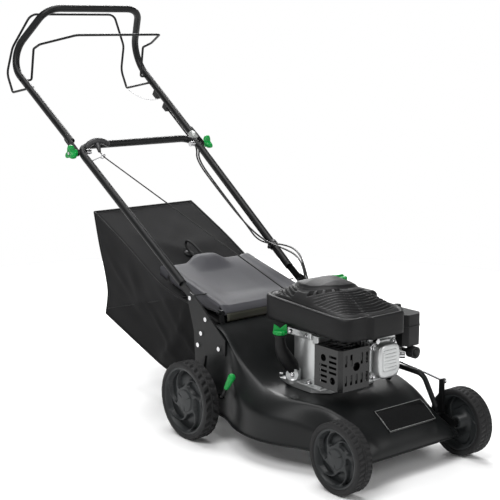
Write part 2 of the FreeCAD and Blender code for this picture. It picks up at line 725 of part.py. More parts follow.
muffler = box(-114, -26, -630, -556, 204, 292)
muffler = rounded(muffler, 8.0, lambda e: True)
muffler_pipe = rod(V(-27, -600, 262), V(-8, -600, 262), 12.0)
feature("muffler", muffler.fuse(muffler_pipe).removeSplitter().cut(cylinder))
guard_outline = [(-18, -548), (-122, -548), (-122, -631), (-113, -640), (-27, -640), (-18, -631)]
guard_outer = prism(guard_outline, 197, 299, "XY")
guard_inner = prism([(-10, -500), (-120, -500), (-120, -630.2), (-112.2, -638), (-10, -638)], 199, 297, "XY")
guard = guard_outer.cut(guard_inner)
openings = []
for row in range(6):
    low = 211.0 + 13.0 * row
    for column in range(2):
        if (row, column) in ((0, 0), (1, 0), (4, 1), (5, 1)):
            continue
        y0 = -626.0 + 33.0 * column
        openings.append(box(-130, -115, y0, y0 + 26.0, low, low + 6.0))
for y, z in ((-613.0, 221.0), (-580.0, 272.0)):
    openings.append(rod(V(-130, y, z), V(-115, y, z), 9.0))
for column in range(5):
    x0 = -107.0 + 17.0 * column
    openings.append(box(x0, x0 + 7.0, -645, -630, 211, 236))
    if column != 2:
        openings.append(box(x0, x0 + 7.0, -645, -630, 258, 286))
openings.append(rod(V(-69.5, -645, 254), V(-69.5, -630, 254), 11.0))
for row in range(4):
    openings.append(box(-108, -84, -628 + 18 * row, -621 + 18 * row, 290, 305))
    openings.append(box(-72, -48, -628 + 18 * row, -621 + 18 * row, 290, 305))
for opening in openings:
    guard = guard.cut(opening)
feature("muffler_guard", guard)

shroud_low = size("shroud_bottom")
shroud_high = size("shroud_top")
shroud = prism(plan_outline(-120, 95, -655, -336, 30), shroud_low, shroud_high, "XY")
hollow = prism(plan_outline(-117, 92, -652, -339, 29), shroud_low - 5, shroud_high - 3, "XY")
shroud = shroud.cut(hollow).cut(Part.makeCylinder(62.0, 80.0, V(crank.x, crank.y, 330.0)))
feature("blower_shroud", shroud)

cover_outline = [
    (-652, shroud_high), (-630, 396), (-560, 418), (-470, 435), (-392, 432), (-356, 408),
    (-340, shroud_high),
]
recoil = prism(cover_outline, -104, 84)
recoil = rounded(recoil, 18.0, lambda e: not along(e, V(1, 0, 0)) and e.BoundBox.ZMax > shroud_high + 1)
recoil_hollow = prism([(-640, shroud_high - 1), (-620, 388), (-555, 411), (-468, 428), (-398, 425),
                       (-364, 402), (-350, shroud_high - 1)], -92, 72)
recoil = recoil.cut(recoil_hollow)
recoil = recoil.cut(rod(V(-80.0, -390.0, 398.0), V(-95.0, -290.0, 440.0), 3.0))
feature("recoil_cover", recoil)

tank = box(98.5, 172, -470, -304, 300, 376)
tank = rounded(tank, 14.0, lambda e: along(e, V(0, 0, 1)) or e.BoundBox.ZMin > 375)
neck = Part.makeCylinder(17.0, 12.0, V(136, -350, 372))
tank = tank.fuse(neck).removeSplitter()
feature("fuel_tank", tank.cut(Part.makeCylinder(13.0, 40.0, V(136, -350, 350))))
cap = Part.makeCylinder(24.0, 14.0, V(136, -350, 384.5))
cap = rounded(cap, 3.0, lambda e: e.Closed and e.BoundBox.ZMin > 398)
cap_bore = Part.makeCylinder(12.4, 16.0, V(136, -350, 369.0))
feature("fuel_cap", cap.fuse(cap_bore).removeSplitter())

filler_route = [V(-100, -445, 192), V(-100, -445, 232), V(-138, -438, 262), V(-138, -438, 303)]
filler = pipe(filler_route, easy_radii(filler_route, 0.45), 11.5)
filler_mouth = Part.makeCylinder(8.0, 24.0, V(-138, -438, 284))
feature("oil_filler_tube", filler.cut(filler_mouth))
oil_cap = Part.makeCylinder(15.0, 6.0, V(-138, -438, 303.5))
oil_wing = box(-141, -135, -452, -424, 309, 320)
oil_stick = Part.makeCylinder(7.6, 22.0, V(-138, -438, 286))
feature("oil_cap", joined([oil_cap, oil_wing, oil_stick]))

filter_box = prism(plan_outline(96, 156, -640, -514, 12), 272, 352, "XY")
filter_hollow = prism(plan_outline(99, 153, -637, -517, 10), 275, 340, "XY")
filter_screw = Part.makeCylinder(4.0, 14.0, V(126, -580, 342))
feature("air_filter_box", filter_box.cut(filter_hollow).fuse(filter_screw).removeSplitter())
filter_knob = Part.makeCylinder(11.0, 15.0, V(126, -580, 352.5))
filter_knob = filter_knob.cut(Part.makeCylinder(4.0 + clearance, 5.0, V(126, -580, 351.8)))
feature("filter_knob", filter_knob)
carburettor = joined([box(100, 132, -590, -540, 232, 262), rod(V(116, -604, 247), V(116, -520, 247), 14.0)])
intake = rod(V(77, -575, 247), V(101, -575, 247), 10.0)
carburettor = carburettor.fuse(intake).removeSplitter()
feature("carburettor", carburettor)
primer_cup = rod(V(124, -650, 256), V(124, -628, 256), 15.0)
primer_cup = primer_cup.cut(rod(V(124, -660, 256), V(124, -632, 256), 10.4))
primer_foot = box(120, 128, -630, -590.0, 252, 260)
feature("primer_housing", primer_cup.fuse(primer_foot).removeSplitter().cut(carburettor))
feature("primer_button", rod(V(124, -657, 256), V(124, -640, 256), 10.0))

# ---------------------------------------------------------------- crankshaft, flywheel, blade
shaft = Part.makeCylinder(shaft_r, 352.0 - 64.0, V(crank.x, crank.y, 64.0))
feature("crankshaft", shaft)
flywheel = Part.makeCylinder(76.0, 22.0, V(crank.x, crank.y, 325.0))
feature("flywheel", flywheel.cut(Part.makeCylinder(shaft_r, 40.0, V(crank.x, crank.y, 315.0))))
blade_r = size("blade_radius")
blade_half = 24.0
blade = box(-blade_r + 3, blade_r - 3, crank.y - blade_half, crank.y + blade_half, 69.0, 72.5)
blade = blade.common(Part.makeCylinder(blade_r, 30.0, V(crank.x, crank.y, 60.0)))
for sign in (-1, 1):
    x0 = min(sign * 150, sign * 205)
    y0 = crank.y + (blade_half - 6 if sign > 0 else -blade_half)
    wing = box(x0, x0 + 55, y0, y0 + 6, 69.0, 82.0)
    blade = blade.fuse(wing)
blade = blade.removeSplitter().cut(Part.makeCylinder(shaft_r, 40.0, V(crank.x, crank.y, 60.0)))
feature("blade", blade)
pulley_z = 141.0


def belt_pulley(x, y, radius):
    """Flat pulley with two thin flanges."""
    core = Part.makeCylinder(radius, 18.0, V(x, y, pulley_z))
    low = Part.makeCylinder(radius + 6, 2.0, V(x, y, pulley_z))
    high = Part.makeCylinder(radius + 6, 2.0, V(x, y, pulley_z + 16.0))
    return joined([core, low, high])


drive_pulley = belt_pulley(crank.x, crank.y, 25.0)
feature("drive_pulley", drive_pulley.cut(Part.makeCylinder(shaft_r, 40.0, V(crank.x, crank.y, 130.0))))
gear_y = -196.0
gear_pulley = belt_pulley(0, gear_y, 34.0)
gear_stub = Part.makeCylinder(6.0, 34.0, V(0, gear_y, 124.0))
feature("gearbox_pulley", gear_pulley.fuse(gear_stub).removeSplitter())
gearbox = box(-42, 42, -224, -154, 96, 137)
gearbox = rounded(gearbox, 8.0, lambda e: along(e, V(0, 0, 1)))
gearbox = gearbox.cut(Part.makeCylinder(6.0 + clearance, 20.0, V(0, gear_y, 120.0)))
axle_hole = rod(V(-60, rear_pivot.y, rear_pivot.z), V(60, rear_pivot.y, rear_pivot.z), 6.0 + clearance)
gearbox = gearbox.cut(axle_hole)
feature("transmission_housing", gearbox)
pulley = Part.makeCylinder(32.0, 12.0, V(crank.x, crank.y, 386.0))
feature("starter_pulley", pulley)

# The drive belt runs flat round both pulleys.
def belt_loop(small, large, height, low):
    """Solid outline round two pulleys of different radius, on the crank and gearbox centres."""
    gap = gear_y - crank.y
    lean = math.asin((large - small) / gap)
    side = V(math.cos(lean), -math.sin(lean), 0)
    start = V(crank.x, crank.y, low) + V(side.x, side.y, 0) * small
    end = V(0, gear_y, low) + V(side.x, side.y, 0) * large
    flat = [start, end, V(-end.x, end.y, low), V(-start.x, start.y, low)]
    middle = Part.Face(Part.makePolygon(flat + [flat[0]])).extrude(V(0, 0, height))
    round_small = Part.makeCylinder(small, height, V(crank.x, crank.y, low))
    round_large = Part.makeCylinder(large, height, V(0, gear_y, low))
    return joined([middle, round_small, round_large])


belt_low = pulley_z + 4.0
belt = belt_loop(31.0, 40.0, 10.0, belt_low).cut(belt_loop(25.4, 34.4, 10.0, belt_low))
feature("drive_belt", belt)

# ---------------------------------------------------------------- check and write
doc.recompute()
for obj in doc.Objects:
    if "Invalid" in obj.State or "Error" in obj.State:
        raise RuntimeError("object %s failed to build" % obj.Name)
for obj in nodes:
    if obj.Shape.isNull() or not obj.Shape.isValid():
        raise RuntimeError("sub-part %s has no valid shape" % obj.Label)
os.makedirs("parts", exist_ok=True)
for obj in nodes:
    obj.Shape.exportStep(os.path.join("parts", obj.Label + ".step"))
print(len(nodes), "sub-parts written")
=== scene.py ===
import json
from math import atan2, copysign, cos, degrees, exp, hypot, pi, radians, sin
import random
import bpy
import bmesh
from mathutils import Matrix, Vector, noise


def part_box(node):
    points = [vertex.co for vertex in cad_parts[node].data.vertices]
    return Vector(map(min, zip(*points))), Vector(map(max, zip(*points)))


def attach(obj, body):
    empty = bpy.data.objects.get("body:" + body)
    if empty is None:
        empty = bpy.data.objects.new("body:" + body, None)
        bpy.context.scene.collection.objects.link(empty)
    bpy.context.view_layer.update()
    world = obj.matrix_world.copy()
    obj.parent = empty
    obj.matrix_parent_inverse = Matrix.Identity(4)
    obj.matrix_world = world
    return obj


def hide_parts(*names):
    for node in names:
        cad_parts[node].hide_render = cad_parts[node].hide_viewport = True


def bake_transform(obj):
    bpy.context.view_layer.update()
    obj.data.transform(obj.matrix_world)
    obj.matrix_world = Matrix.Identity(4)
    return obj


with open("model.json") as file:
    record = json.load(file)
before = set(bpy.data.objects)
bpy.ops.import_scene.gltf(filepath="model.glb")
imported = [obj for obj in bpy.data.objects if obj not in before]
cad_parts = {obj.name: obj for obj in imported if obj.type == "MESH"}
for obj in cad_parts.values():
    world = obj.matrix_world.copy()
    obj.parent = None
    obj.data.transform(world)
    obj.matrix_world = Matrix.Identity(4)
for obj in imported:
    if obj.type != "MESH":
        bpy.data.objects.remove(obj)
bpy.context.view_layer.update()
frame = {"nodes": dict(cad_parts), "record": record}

scene = bpy.context.scene
nodes = frame["nodes"]
slot_of = {item["node"]: item["material_slot"] for item in frame["record"]["subparts"]}
FULL_TURN = 2 * pi


def turns(count):
    """Angles of even steps round a circle."""
    return [FULL_TURN * i / count for i in range(count)]


def even(start, length, steps):
    """Even places from start over a length, both ends included."""
    return [start + length * i / steps for i in range(steps + 1)]


# ---------- camera, floor and light
def soft_light(name, energy, place, target, size):
    """Rectangular studio light aimed at a point."""
    data = bpy.data.lights.new(name, "AREA")
    data.energy = energy
    data.shape = "RECTANGLE"
    data.size = size[0]
    data.size_y = size[1]
    lamp = bpy.data.objects.new(name, data)
    scene.collection.objects.link(lamp)
    lamp.location = place
    run = Vector(target) - Vector(place)
    lamp.rotation_euler = run.to_track_quat("-Z", "Y").to_euler()


camera_data = bpy.data.cameras.new("camera")
camera_data.lens = 85.4
camera_data.sensor_width = 36.0
camera_data.shift_x = -0.0026
camera_data.shift_y = -0.005
camera_data.clip_end = 60.0
camera = bpy.data.objects.new("camera", camera_data)
scene.collection.objects.link(camera)
camera.location = (-1.9683, -2.6139, 1.059)
camera.rotation_euler = (radians(79.286), 0.0, radians(-38.63))
scene.camera = camera

soft_light("key_light", 78.0, (-2.4, -1.0, 3.0), (0, -0.2, 0.3), (1.6, 1.6))
soft_light("fill_light", 36.0, (1.2, -3.4, 2.2), (0, -0.3, 0.3), (2.2, 1.4))
soft_light("rim_light", 120.0, (1.6, 2.8, 2.4), (0, 0, 0.4), (2.4, 1.2))
soft_light("top_light", 90.0, (0.0, 0.4, 3.6), (0, 0, 0), (2.0, 2.6))

# The sky is white at the horizon and grey overhead; heights are shares of the way up.
WHITE_UP_TO = 0.16
GREY_FROM = 0.34
OVERHEAD_GREY = 0.16
world = bpy.data.worlds.new("studio")
scene.world = world
world.use_nodes = True
sky = world.node_tree
backdrop = sky.nodes["Background"]
backdrop.inputs["Strength"].default_value = 1.0
sky_place = sky.nodes.new("ShaderNodeTexCoord")
sky_split = sky.nodes.new("ShaderNodeSeparateXYZ")
sky_ramp = sky.nodes.new("ShaderNodeValToRGB")
sky.links.new(sky_place.outputs["Generated"], sky_split.inputs["Vector"])
sky.links.new(sky_split.outputs["Z"], sky_ramp.inputs["Fac"])
sky.links.new(sky_ramp.outputs["Color"], backdrop.inputs["Color"])
sky_ramp.color_ramp.elements[0].position = WHITE_UP_TO
sky_ramp.color_ramp.elements[0].color = (1, 1, 1, 1)
sky_ramp.color_ramp.elements[1].position = GREY_FROM
sky_ramp.color_ramp.elements[1].color = (OVERHEAD_GREY, OVERHEAD_GREY, OVERHEAD_GREY, 1)
scene.view_settings.view_transform = "Standard"


# ---------- materials
def set_inputs(node, values):
    """Set a shader node's sockets."""
    for socket, value in values.items():
        node.inputs[socket].default_value = value


WORN_COLOR = (0.35, 0.35, 0.36, 1)
WEAR_STARTS = 0.56
WEAR_FULL = 0.68


def shade(name, color, rough, metal=0.0, vary=0.25, patch=14.0, grain=0.0, grain_size=900.0,
          rough_vary=0.08, sheen=0.0, specular=0.28, wear=0.0):
    """Principled material with patchy colour, uneven roughness, fine bump and worn edges.

    vary and patch set the colour's patches, grain and grain_size the bump, and wear how pale the edges get.
    """
    mat = bpy.data.materials.new(name)
    mat.use_nodes = True
    tree = mat.node_tree
    link = tree.links.new
    bsdf = tree.nodes["Principled BSDF"]
    set_inputs(bsdf, {"Metallic": metal, "Specular IOR Level": specular, "Sheen Weight": sheen})
    coords = tree.nodes.new("ShaderNodeTexCoord")
    broad = tree.nodes.new("ShaderNodeTexNoise")
    set_inputs(broad, {"Scale": patch, "Detail": 5.0})
    link(coords.outputs["Object"], broad.inputs["Vector"])
    ramp = tree.nodes.new("ShaderNodeValToRGB")
    low = [c * (1.0 - vary) for c in color]
    high = [min(1.0, c * (1.0 + vary)) for c in color]
    ramp.color_ramp.elements[0].position = 0.3
    ramp.color_ramp.elements[1].position = 0.7
    ramp.color_ramp.elements[0].color = (*low, 1)
    ramp.color_ramp.elements[1].color = (*high, 1)
    link(broad.outputs["Fac"], ramp.inputs["Fac"])
    paint = ramp.outputs["Color"]
    if wear:
        geometry = tree.nodes.new("ShaderNodeNewGeometry")
        edge = tree.nodes.new("ShaderNodeMapRange")
        set_inputs(edge, {"From Min": WEAR_STARTS, "From Max": WEAR_FULL, "To Max": wear})
        link(geometry.outputs["Pointiness"], edge.inputs["Value"])
        mix = tree.nodes.new("ShaderNodeMix")
        mix.data_type = "RGBA"
        link(edge.outputs["Result"], mix.inputs["Factor"])
        link(paint, mix.inputs["A"])
        mix.inputs["B"].default_value = WORN_COLOR
        paint = mix.outputs["Result"]
    link(paint, bsdf.inputs["Base Color"])
    span = tree.nodes.new("ShaderNodeMapRange")
    set_inputs(span, {"To Min": max(0.02, rough - rough_vary), "To Max": min(1.0, rough + rough_vary)})
    fine = tree.nodes.new("ShaderNodeTexNoise")
    set_inputs(fine, {"Scale": grain_size if grain else 120.0, "Detail": 2.0})
    link(coords.outputs["Object"], fine.inputs["Vector"])
    link(broad.outputs["Fac"], span.inputs["Value"])
    link(span.outputs["Result"], bsdf.inputs["Roughness"])
    bump = tree.nodes.new("ShaderNodeBump")
    set_inputs(bump, {"Strength": 0.35 if grain else 0.03, "Distance": grain if grain else 0.0003})
    link(fine.outputs["Fac"], bump.inputs["Height"])
    link(bump.outputs["Normal"], bsdf.inputs["Normal"])
    return mat


LOOKS = {
    "deck_paint": dict(color=(0.005, 0.0056, 0.0058), rough=0.36, rough_vary=0.05, grain=0.00008,
                       grain_size=420.0, specular=0.24),
    "tube_paint": dict(color=(0.0048, 0.005, 0.0053), rough=0.4, specular=0.2),
    "bright_steel": dict(color=(0.58, 0.58, 0.59), rough=0.22, metal=1.0, vary=0.12),
    "plain_steel": dict(color=(0.36, 0.36, 0.37), rough=0.38, metal=1.0, vary=0.2),
    "cast_aluminium": dict(color=(0.52, 0.53, 0.53), rough=0.36, metal=0.85, vary=0.1, grain=0.0004,
                           grain_size=520.0),
    "engine_paint": dict(color=(0.003, 0.003, 0.0032), rough=0.2, rough_vary=0.05, specular=0.42),
    "black_plastic": dict(color=(0.0046, 0.0046, 0.005), rough=0.5, specular=0.22, grain=0.00025,
                          grain_size=1300.0, wear=0.06),
    "green_plastic": dict(color=(0.0, 0.215, 0.034), rough=0.36, vary=0.1),
    "flap_plastic": dict(color=(0.05, 0.05, 0.056), rough=0.58, vary=0.07, specular=0.2, grain=0.0003,
                         grain_size=1100.0),
    "wheel_plastic": dict(color=(0.017, 0.019, 0.02), rough=0.44, vary=0.15, grain=0.0002,
                          grain_size=1000.0, wear=0.08),
    "tyre_rubber": dict(color=(0.011, 0.011, 0.0115), rough=0.68, vary=0.25, grain=0.0004,
                        grain_size=800.0),
    "cable_jacket": dict(color=(0.008, 0.008, 0.008), rough=0.42),
    "rope_fibre": dict(color=(0.014, 0.014, 0.014), rough=0.8, grain=0.0008, grain_size=1500.0),
    "bag_fabric": dict(color=(0.0062, 0.0062, 0.0066), rough=0.85, sheen=0.02, specular=0.15, grain=0.0008,
                       grain_size=900.0),
    "belt_rubber": dict(color=(0.015, 0.015, 0.016), rough=0.6),
    "grip_plastic": dict(color=(0.022, 0.022, 0.023), rough=0.45, grain=0.0002, grain_size=1200.0,
                         specular=0.4),
    "plate_metal": dict(color=(0.3, 0.31, 0.3), rough=0.45, metal=0.4, vary=0.12, patch=160.0),
    "primer_rubber": dict(color=(0.01, 0.01, 0.01), rough=0.55),
    "panel_film": dict(color=(0.004, 0.0042, 0.0044), rough=0.22, specular=0.4, vary=0.1),
    # Near-black, barely reflective floor of the cover's air slots: painted shade for the dark inside seen
    # through them.
    "painted_slot_shade": dict(color=(0.002, 0.002, 0.002), rough=0.9, specular=0.1),
    "olive_strip": dict(color=(0.03, 0.03, 0.022), rough=0.4, vary=0.15),
    "bag_mesh": dict(color=(0.0085, 0.0085, 0.009), rough=0.9, sheen=0.03, grain=0.0008, grain_size=900.0,
                     specular=0.2, vary=0.3),
    "bag_trim": dict(color=(0.008, 0.008, 0.0085), rough=0.7, grain=0.0005, grain_size=1400.0,
                     specular=0.25),
}
MAT = {name: shade(name, **settings) for name, settings in LOOKS.items()}
BAG_MESH_ALPHA = 0.95
MAT["bag_mesh"].node_tree.nodes["Principled BSDF"].inputs["Alpha"].default_value = BAG_MESH_ALPHA
for node, obj in nodes.items():
    obj.data.materials.clear()
    obj.data.materials.append(MAT[slot_of[node]])

FLOOR_RADIUS = 2.1
FLOOR_SIDES = 96
FLOOR_DROP = 0.0008
floor_mesh = bpy.data.meshes.new("floor")
floor_rim = [(FLOOR_RADIUS * cos(turn), FLOOR_RADIUS * sin(turn), 0.0)
             for turn in turns(FLOOR_SIDES)]
floor_mesh.from_pydata(floor_rim, [], [tuple(range(FLOOR_SIDES))])
floor = bpy.data.objects.new("floor", floor_mesh)
scene.collection.objects.link(floor)
floor.location.z = -FLOOR_DROP
floor_mesh.materials.append(shade("floor_paint", (0.93, 0.93, 0.93), 0.7, vary=0.01))


# ---------- shape helpers
def smooth(x, low, high):
    """Rise from 0 at low to 1 at high with soft ends; it falls where high is below low."""
    t = min(1.0, max(0.0, (x - low) / (high - low)))
    return t * t * (3.0 - 2.0 * t)


def table(rows, x):
    """Value at x on the straight runs between (x, value) rows."""
    if x <= rows[0][0]:
        return rows[0][1]
    for (x0, v0), (x1, v1) in zip(rows, rows[1:]):
        if x <= x1:
            t = (x - x0) / (x1 - x0)
            return v0 + (v1 - v0) * t
    return rows[-1][1]


def grid_faces(rows, wrap=False):
    """Points and four-sided faces of a grid; wrap joins each row's last point to its first."""
    verts = [tuple(p) for row in rows for p in row]
    count = len(rows[0])
    faces = []
    for i in range(len(rows) - 1):
        for j in range(count if wrap else count - 1):
            a = i * count + j
            b = i * count + (j + 1) % count
            faces.append((a, b, b + count, a + count))
    return verts, faces


def piece(name, verts, faces, mat, body, hides=(), level=0, thick=0.0, bevel=0.0, flat=False, merge=0.0):
    """Mesh piece on a body; hides names the CAD nodes that it stands for.

    level subdivides it, thick gives a sheet its wall, bevel rounds its edges, and merge joins close points.
    """
    mesh = bpy.data.meshes.new(name)
    mesh.from_pydata([tuple(v) for v in verts], [], faces)
    work = bmesh.new()
    work.from_mesh(mesh)
    if merge:
        bmesh.ops.remove_doubles(work, verts=work.verts, dist=merge)
    bmesh.ops.recalc_face_normals(work, faces=work.faces)
    work.to_mesh(mesh)
    work.free()
    mesh.polygons.foreach_set("use_smooth", [not flat] * len(mesh.polygons))
    mesh.materials.append(MAT[mat])
    obj = bpy.data.objects.new(name, mesh)
    scene.collection.objects.link(obj)
    if level:
        sub = obj.modifiers.new("surface", "SUBSURF")
        sub.levels = level
        sub.render_levels = level
    if thick:
        shell = obj.modifiers.new("wall", "SOLIDIFY")
        shell.thickness = thick
        shell.offset = -1.0
    if bevel:
        edge = obj.modifiers.new("edges", "BEVEL")
        edge.width = bevel
        edge.segments = 3
        edge.limit_method = "ANGLE"
        edge.angle_limit = radians(35)
    if body:
        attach(obj, body)
    if hides:
        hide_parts(*hides)
    return obj


def skin(name, rows, mat, body, hides=(), **finish):
    """Piece made from a grid of points."""
    verts, faces = grid_faces(rows)
    return piece(name, verts, faces, mat, body, hides, **finish)


def ring_skin(name, rows, mat, body, hides=(), **finish):
    """Piece made from closed rings of points."""
    verts, faces = grid_faces(rows, wrap=True)
    return piece(name, verts, faces, mat, body, hides, **finish)


# ---------- deck
DECK_LOW = 0.0585
DECK_SHEET = 0.0024
CRANK_OPENING_X = 0.06
CRANK_OPENING_Y = (-0.5, -0.42)
# The left shoulder leaves room for the travel of the height link rod.
ROD_PATH_Y = (-0.44, -0.29)
ROD_PATH_LOW = 0.152
ROD_PATH_INSIDE = 0.184
# rear to front: y, slant, side x, side top z, ridge x, ridge z, inner x, inner z
DECK = [
    (-0.232, 0.39, 0.19, 0.286, 0.182, 0.2925, 0.12, 0.293),
    (-0.24, 0.33, 0.19, 0.286, 0.182, 0.2925, 0.12, 0.293),
    (-0.272, 0.18, 0.19, 0.272, 0.18, 0.281, 0.12, 0.283),
    (-0.306, 0.08, 0.1905, 0.226, 0.182, 0.248, 0.12, 0.254),
    (-0.343, 0.03, 0.214, 0.168, 0.184, 0.218, 0.12, 0.222),
    (-0.384, 0.0, 0.23, 0.144, 0.184, 0.195, 0.11, 0.188),
    (-0.43, 0.0, 0.237, 0.132, 0.182, 0.173, 0.11, 0.168),
    (-0.473, 0.0, 0.2345, 0.129, 0.182, 0.1675, 0.11, 0.1665),
    (-0.52, 0.0, 0.222, 0.126, 0.178, 0.1665, 0.11, 0.1665),
    (-0.568, 0.0, 0.198, 0.122, 0.16, 0.166, 0.11, 0.1665),
    (-0.61, 0.0, 0.177, 0.112, 0.145, 0.1635, 0.11, 0.165),
    (-0.655, 0.0, 0.1725, 0.1, 0.134, 0.1525, 0.09, 0.157),
    (-0.695, 0.0, 0.172, 0.092, 0.122, 0.131, 0.08, 0.136),
    (-0.728, 0.0, 0.17, 0.084, 0.114, 0.109, 0.07, 0.112),
    (-0.746, 0.0, 0.164, 0.076, 0.108, 0.09, 0.06, 0.092),
    (-0.7545, 0.0, 0.154, 0.066, 0.1, 0.074, 0.06, 0.075),
    (-0.755, 0.0, 0.152, 0.06, 0.1, 0.062, 0.06, 0.062),
]
deck_rows = []
for y, slant, side, side_top, ridge, ridge_z, inner, inner_z in DECK:
    half = [
        (side + 0.003, DECK_LOW), (side, DECK_LOW + 0.002), (side, min(side_top, DECK_LOW + 0.012)),
        (side, DECK_LOW + 0.6 * (side_top - DECK_LOW)),
        (side - 0.001, side_top - 0.006 * (side_top > 0.07)), (side - 0.007, side_top + 0.004),
        (side + 0.55 * (ridge - side), side_top + 0.62 * (ridge_z - side_top)),
        (ridge + 0.006, ridge_z - 0.002), (ridge - 0.004, ridge_z), (ridge - 0.016, ridge_z - 0.001),
        (inner, inner_z), (inner * 0.5, inner_z),
    ]
    row = []
    for x, z in half:
        if ROD_PATH_Y[0] < y < ROD_PATH_Y[1] and z > ROD_PATH_LOW and x > ROD_PATH_INSIDE:
            x = min(x, 0.186 + 0.02 * smooth(z, 0.166, 0.154))
        row.append((x, y + slant * (ridge_z - z), z))
    row.append((0.0, y, inner_z))
    row += [(-x, y + slant * (ridge_z - z), z) for x, z in reversed(half)]
    deck_rows.append(row)
deck_rows.append([(x, y - 0.0004, DECK_LOW) for x, y, z in deck_rows[-1]])
verts, faces = grid_faces(deck_rows)


def over_crank(x, y):
    """Whether a place is in the deck's opening for the crankshaft."""
    return abs(x) < CRANK_OPENING_X and CRANK_OPENING_Y[0] < y < CRANK_OPENING_Y[1]


crank_free = [face for face in faces if not all(over_crank(*verts[k][:2]) for k in face)]
piece("deck_body", verts, crank_free, "deck_paint", "root", ("deck_shell",), level=2, thick=DECK_SHEET)

# The rolled lip along the deck's lower edge.
LIP_WIDTH = 0.0035
DECK_MID_Y = -0.4
edge_line = [row[0] for row in deck_rows[:-1]] + [row[-1] for row in deck_rows[:-1]][::-1]
lip_rows = []
for x, y, z in edge_line:
    out = Vector((x, y - DECK_MID_Y, 0)).normalized() * LIP_WIDTH
    lip_rows.append([(x, y, z + 0.004), (x + out.x, y + out.y, z + 0.003),
                     (x + out.x, y + out.y, z - 0.0003), (x, y, z - 0.0005)])
ring_skin("deck_rim_roll", lip_rows, "deck_paint", "root", level=1)


# ---------- engine cover
CRANK_Y = -0.455
COVER_MID_X = -0.0125
COVER_MID_Y = -0.4955
COVER_HALF_X = 0.1075
COVER_HALF_Y = 0.1595
COVER_SQUARENESS = 7.0
COVER_STEPS = 220
COVER_WALL = 0.0025
# How high the dome stands, from the front to the rear: y, z.
CROWN = [(-0.66, 0.384), (-0.64, 0.394), (-0.6, 0.4065), (-0.54, 0.4205), (-0.5, 0.4295),
         (-0.455, 0.4345), (-0.4, 0.43), (-0.37, 0.419), (-0.345, 0.392)]


def squared_reach(c, s, half_x, half_y, power):
    """Distance from the middle to the edge of a rectangle with round corners, towards (c, s)."""
    return (abs(c / half_x) ** power + abs(s / half_y) ** power) ** (-1.0 / power)


def cover_outline(angle, inset):
    """Plan outline of the engine cover about its middle, with the scoop at the front."""
    c = cos(angle)
    s = sin(angle)
    reach = squared_reach(c, s, COVER_HALF_X - inset, COVER_HALF_Y - inset, COVER_SQUARENESS)
    x = COVER_MID_X + reach * c
    y = COVER_MID_Y + reach * s
    if s < 0:
        scoop = smooth(abs(x - 0.012), 0.06, 0.052) * smooth(-s, 0.6, 0.8)
        y -= 0.01 * scoop
    return x, y


def cover_top(y):
    """Height of the cover's upper edge, which rises a little to the rear."""
    return 0.3815 + (y + 0.5) * 0.045


def cover_base(y):
    """Height of the cover's lower edge."""
    return 0.3185 + 0.02 * (y + 0.655)


# Each ring of the cover's side: inset, 1 if it goes by the upper edge, height from that edge.
band_rows = []
for inset, kind, lift in ((0.004, 0, 0.0), (0.0, 0, 0.002), (0.0, 0, 0.012), (0.0, 1, -0.03),
                          (0.0, 1, -0.006), (0.0015, 1, -0.002), (0.005, 1, 0.0), (0.009, 1, 0.0),
                          (0.01, 1, -0.002), (0.0115, 1, -0.002), (0.0125, 1, 0.001)):
    row = []
    for turn in turns(COVER_STEPS):
        x, y = cover_outline(turn, inset)
        edge = cover_top(y) if kind else cover_base(y)
        row.append((x, y, edge + lift))
    band_rows.append(row)
ring_skin("engine_cover_band", band_rows, "black_plastic", "root", ("blower_shroud",), thick=COVER_WALL)


def dome_point(angle, s):
    """Point of the dome at a share s of the way out from its middle, and whether it lies in an air slot."""
    x1, y1 = cover_outline(angle, 0.0115)
    x = COVER_MID_X + (x1 - COVER_MID_X) * s
    y = COVER_MID_Y + (y1 - COVER_MID_Y) * s
    edge = cover_top(y)
    rise = table(CROWN, y) - edge
    z = edge + rise * (1.0 - s ** 3.0) * (1.0 - 0.1 * s)
    r = hypot(x, y - CRANK_Y)
    theta = degrees(atan2(y - CRANK_Y, x)) % 360
    z += 0.003 * smooth(r, 0.078, 0.072)
    z -= 0.0012 * smooth(abs(r - 0.084), 0.006, 0.002)
    cut = 0.0
    # Louvres round the crank over the front half, a short patch of them behind, and a row of air slots.
    if r > 0.096 and y < -0.49:
        band = smooth(abs(theta - 270), 62, 50) * smooth(1 - s, 0.05, 0.13) * smooth(r, 0.098, 0.106)
        wave = (r / 0.0098) % 1.0
        cut = 0.003 * band * smooth(abs(wave - 0.5), 0.42, 0.2)
    if 112 < theta < 172 and 0.088 < r < 0.135:
        wave = (r / 0.0085) % 1.0
        cut = 0.003 * smooth(abs(wave - 0.5), 0.4, 0.2) * smooth(1 - s, 0.04, 0.1)
    slot = False
    if 0.0845 < r < 0.0975 and 196 < theta < 252:
        step = ((theta - 196) % 14.0) / 14.0
        if 0.14 < step < 0.8:
            slot = True
            cut = 0.0075
    return x, y, z - cut, slot


DOME_RINGS = 84
DOME_STEPS = COVER_STEPS * 2
dome_rows = []
for k in range(DOME_RINGS):
    s = 1.0 - k / (DOME_RINGS - 1) * 0.985
    dome_rows.append([dome_point(turn, s) for turn in turns(DOME_STEPS)])
flags = [p[3] for row in dome_rows for p in row]
verts, faces = grid_faces([[p[:3] for p in row] for row in dome_rows], wrap=True)
faces.append(tuple(range((DOME_RINGS - 1) * DOME_STEPS, DOME_RINGS * DOME_STEPS)))
dome = piece("engine_cover_dome", verts, faces, "black_plastic", "root", ("recoil_cover",))
# The slot floors get the near-black material: painted shade where the open slots show the dark inside.
dome.data.materials.append(MAT["painted_slot_shade"])
for poly in dome.data.polygons:
    if len(poly.vertices) == 4 and all(flags[v] for v in poly.vertices):
        poly.material_index = 1


# ---------- wheels
BEAD_DEPTH = 0.014
MERGE_SEAM = 0.00002
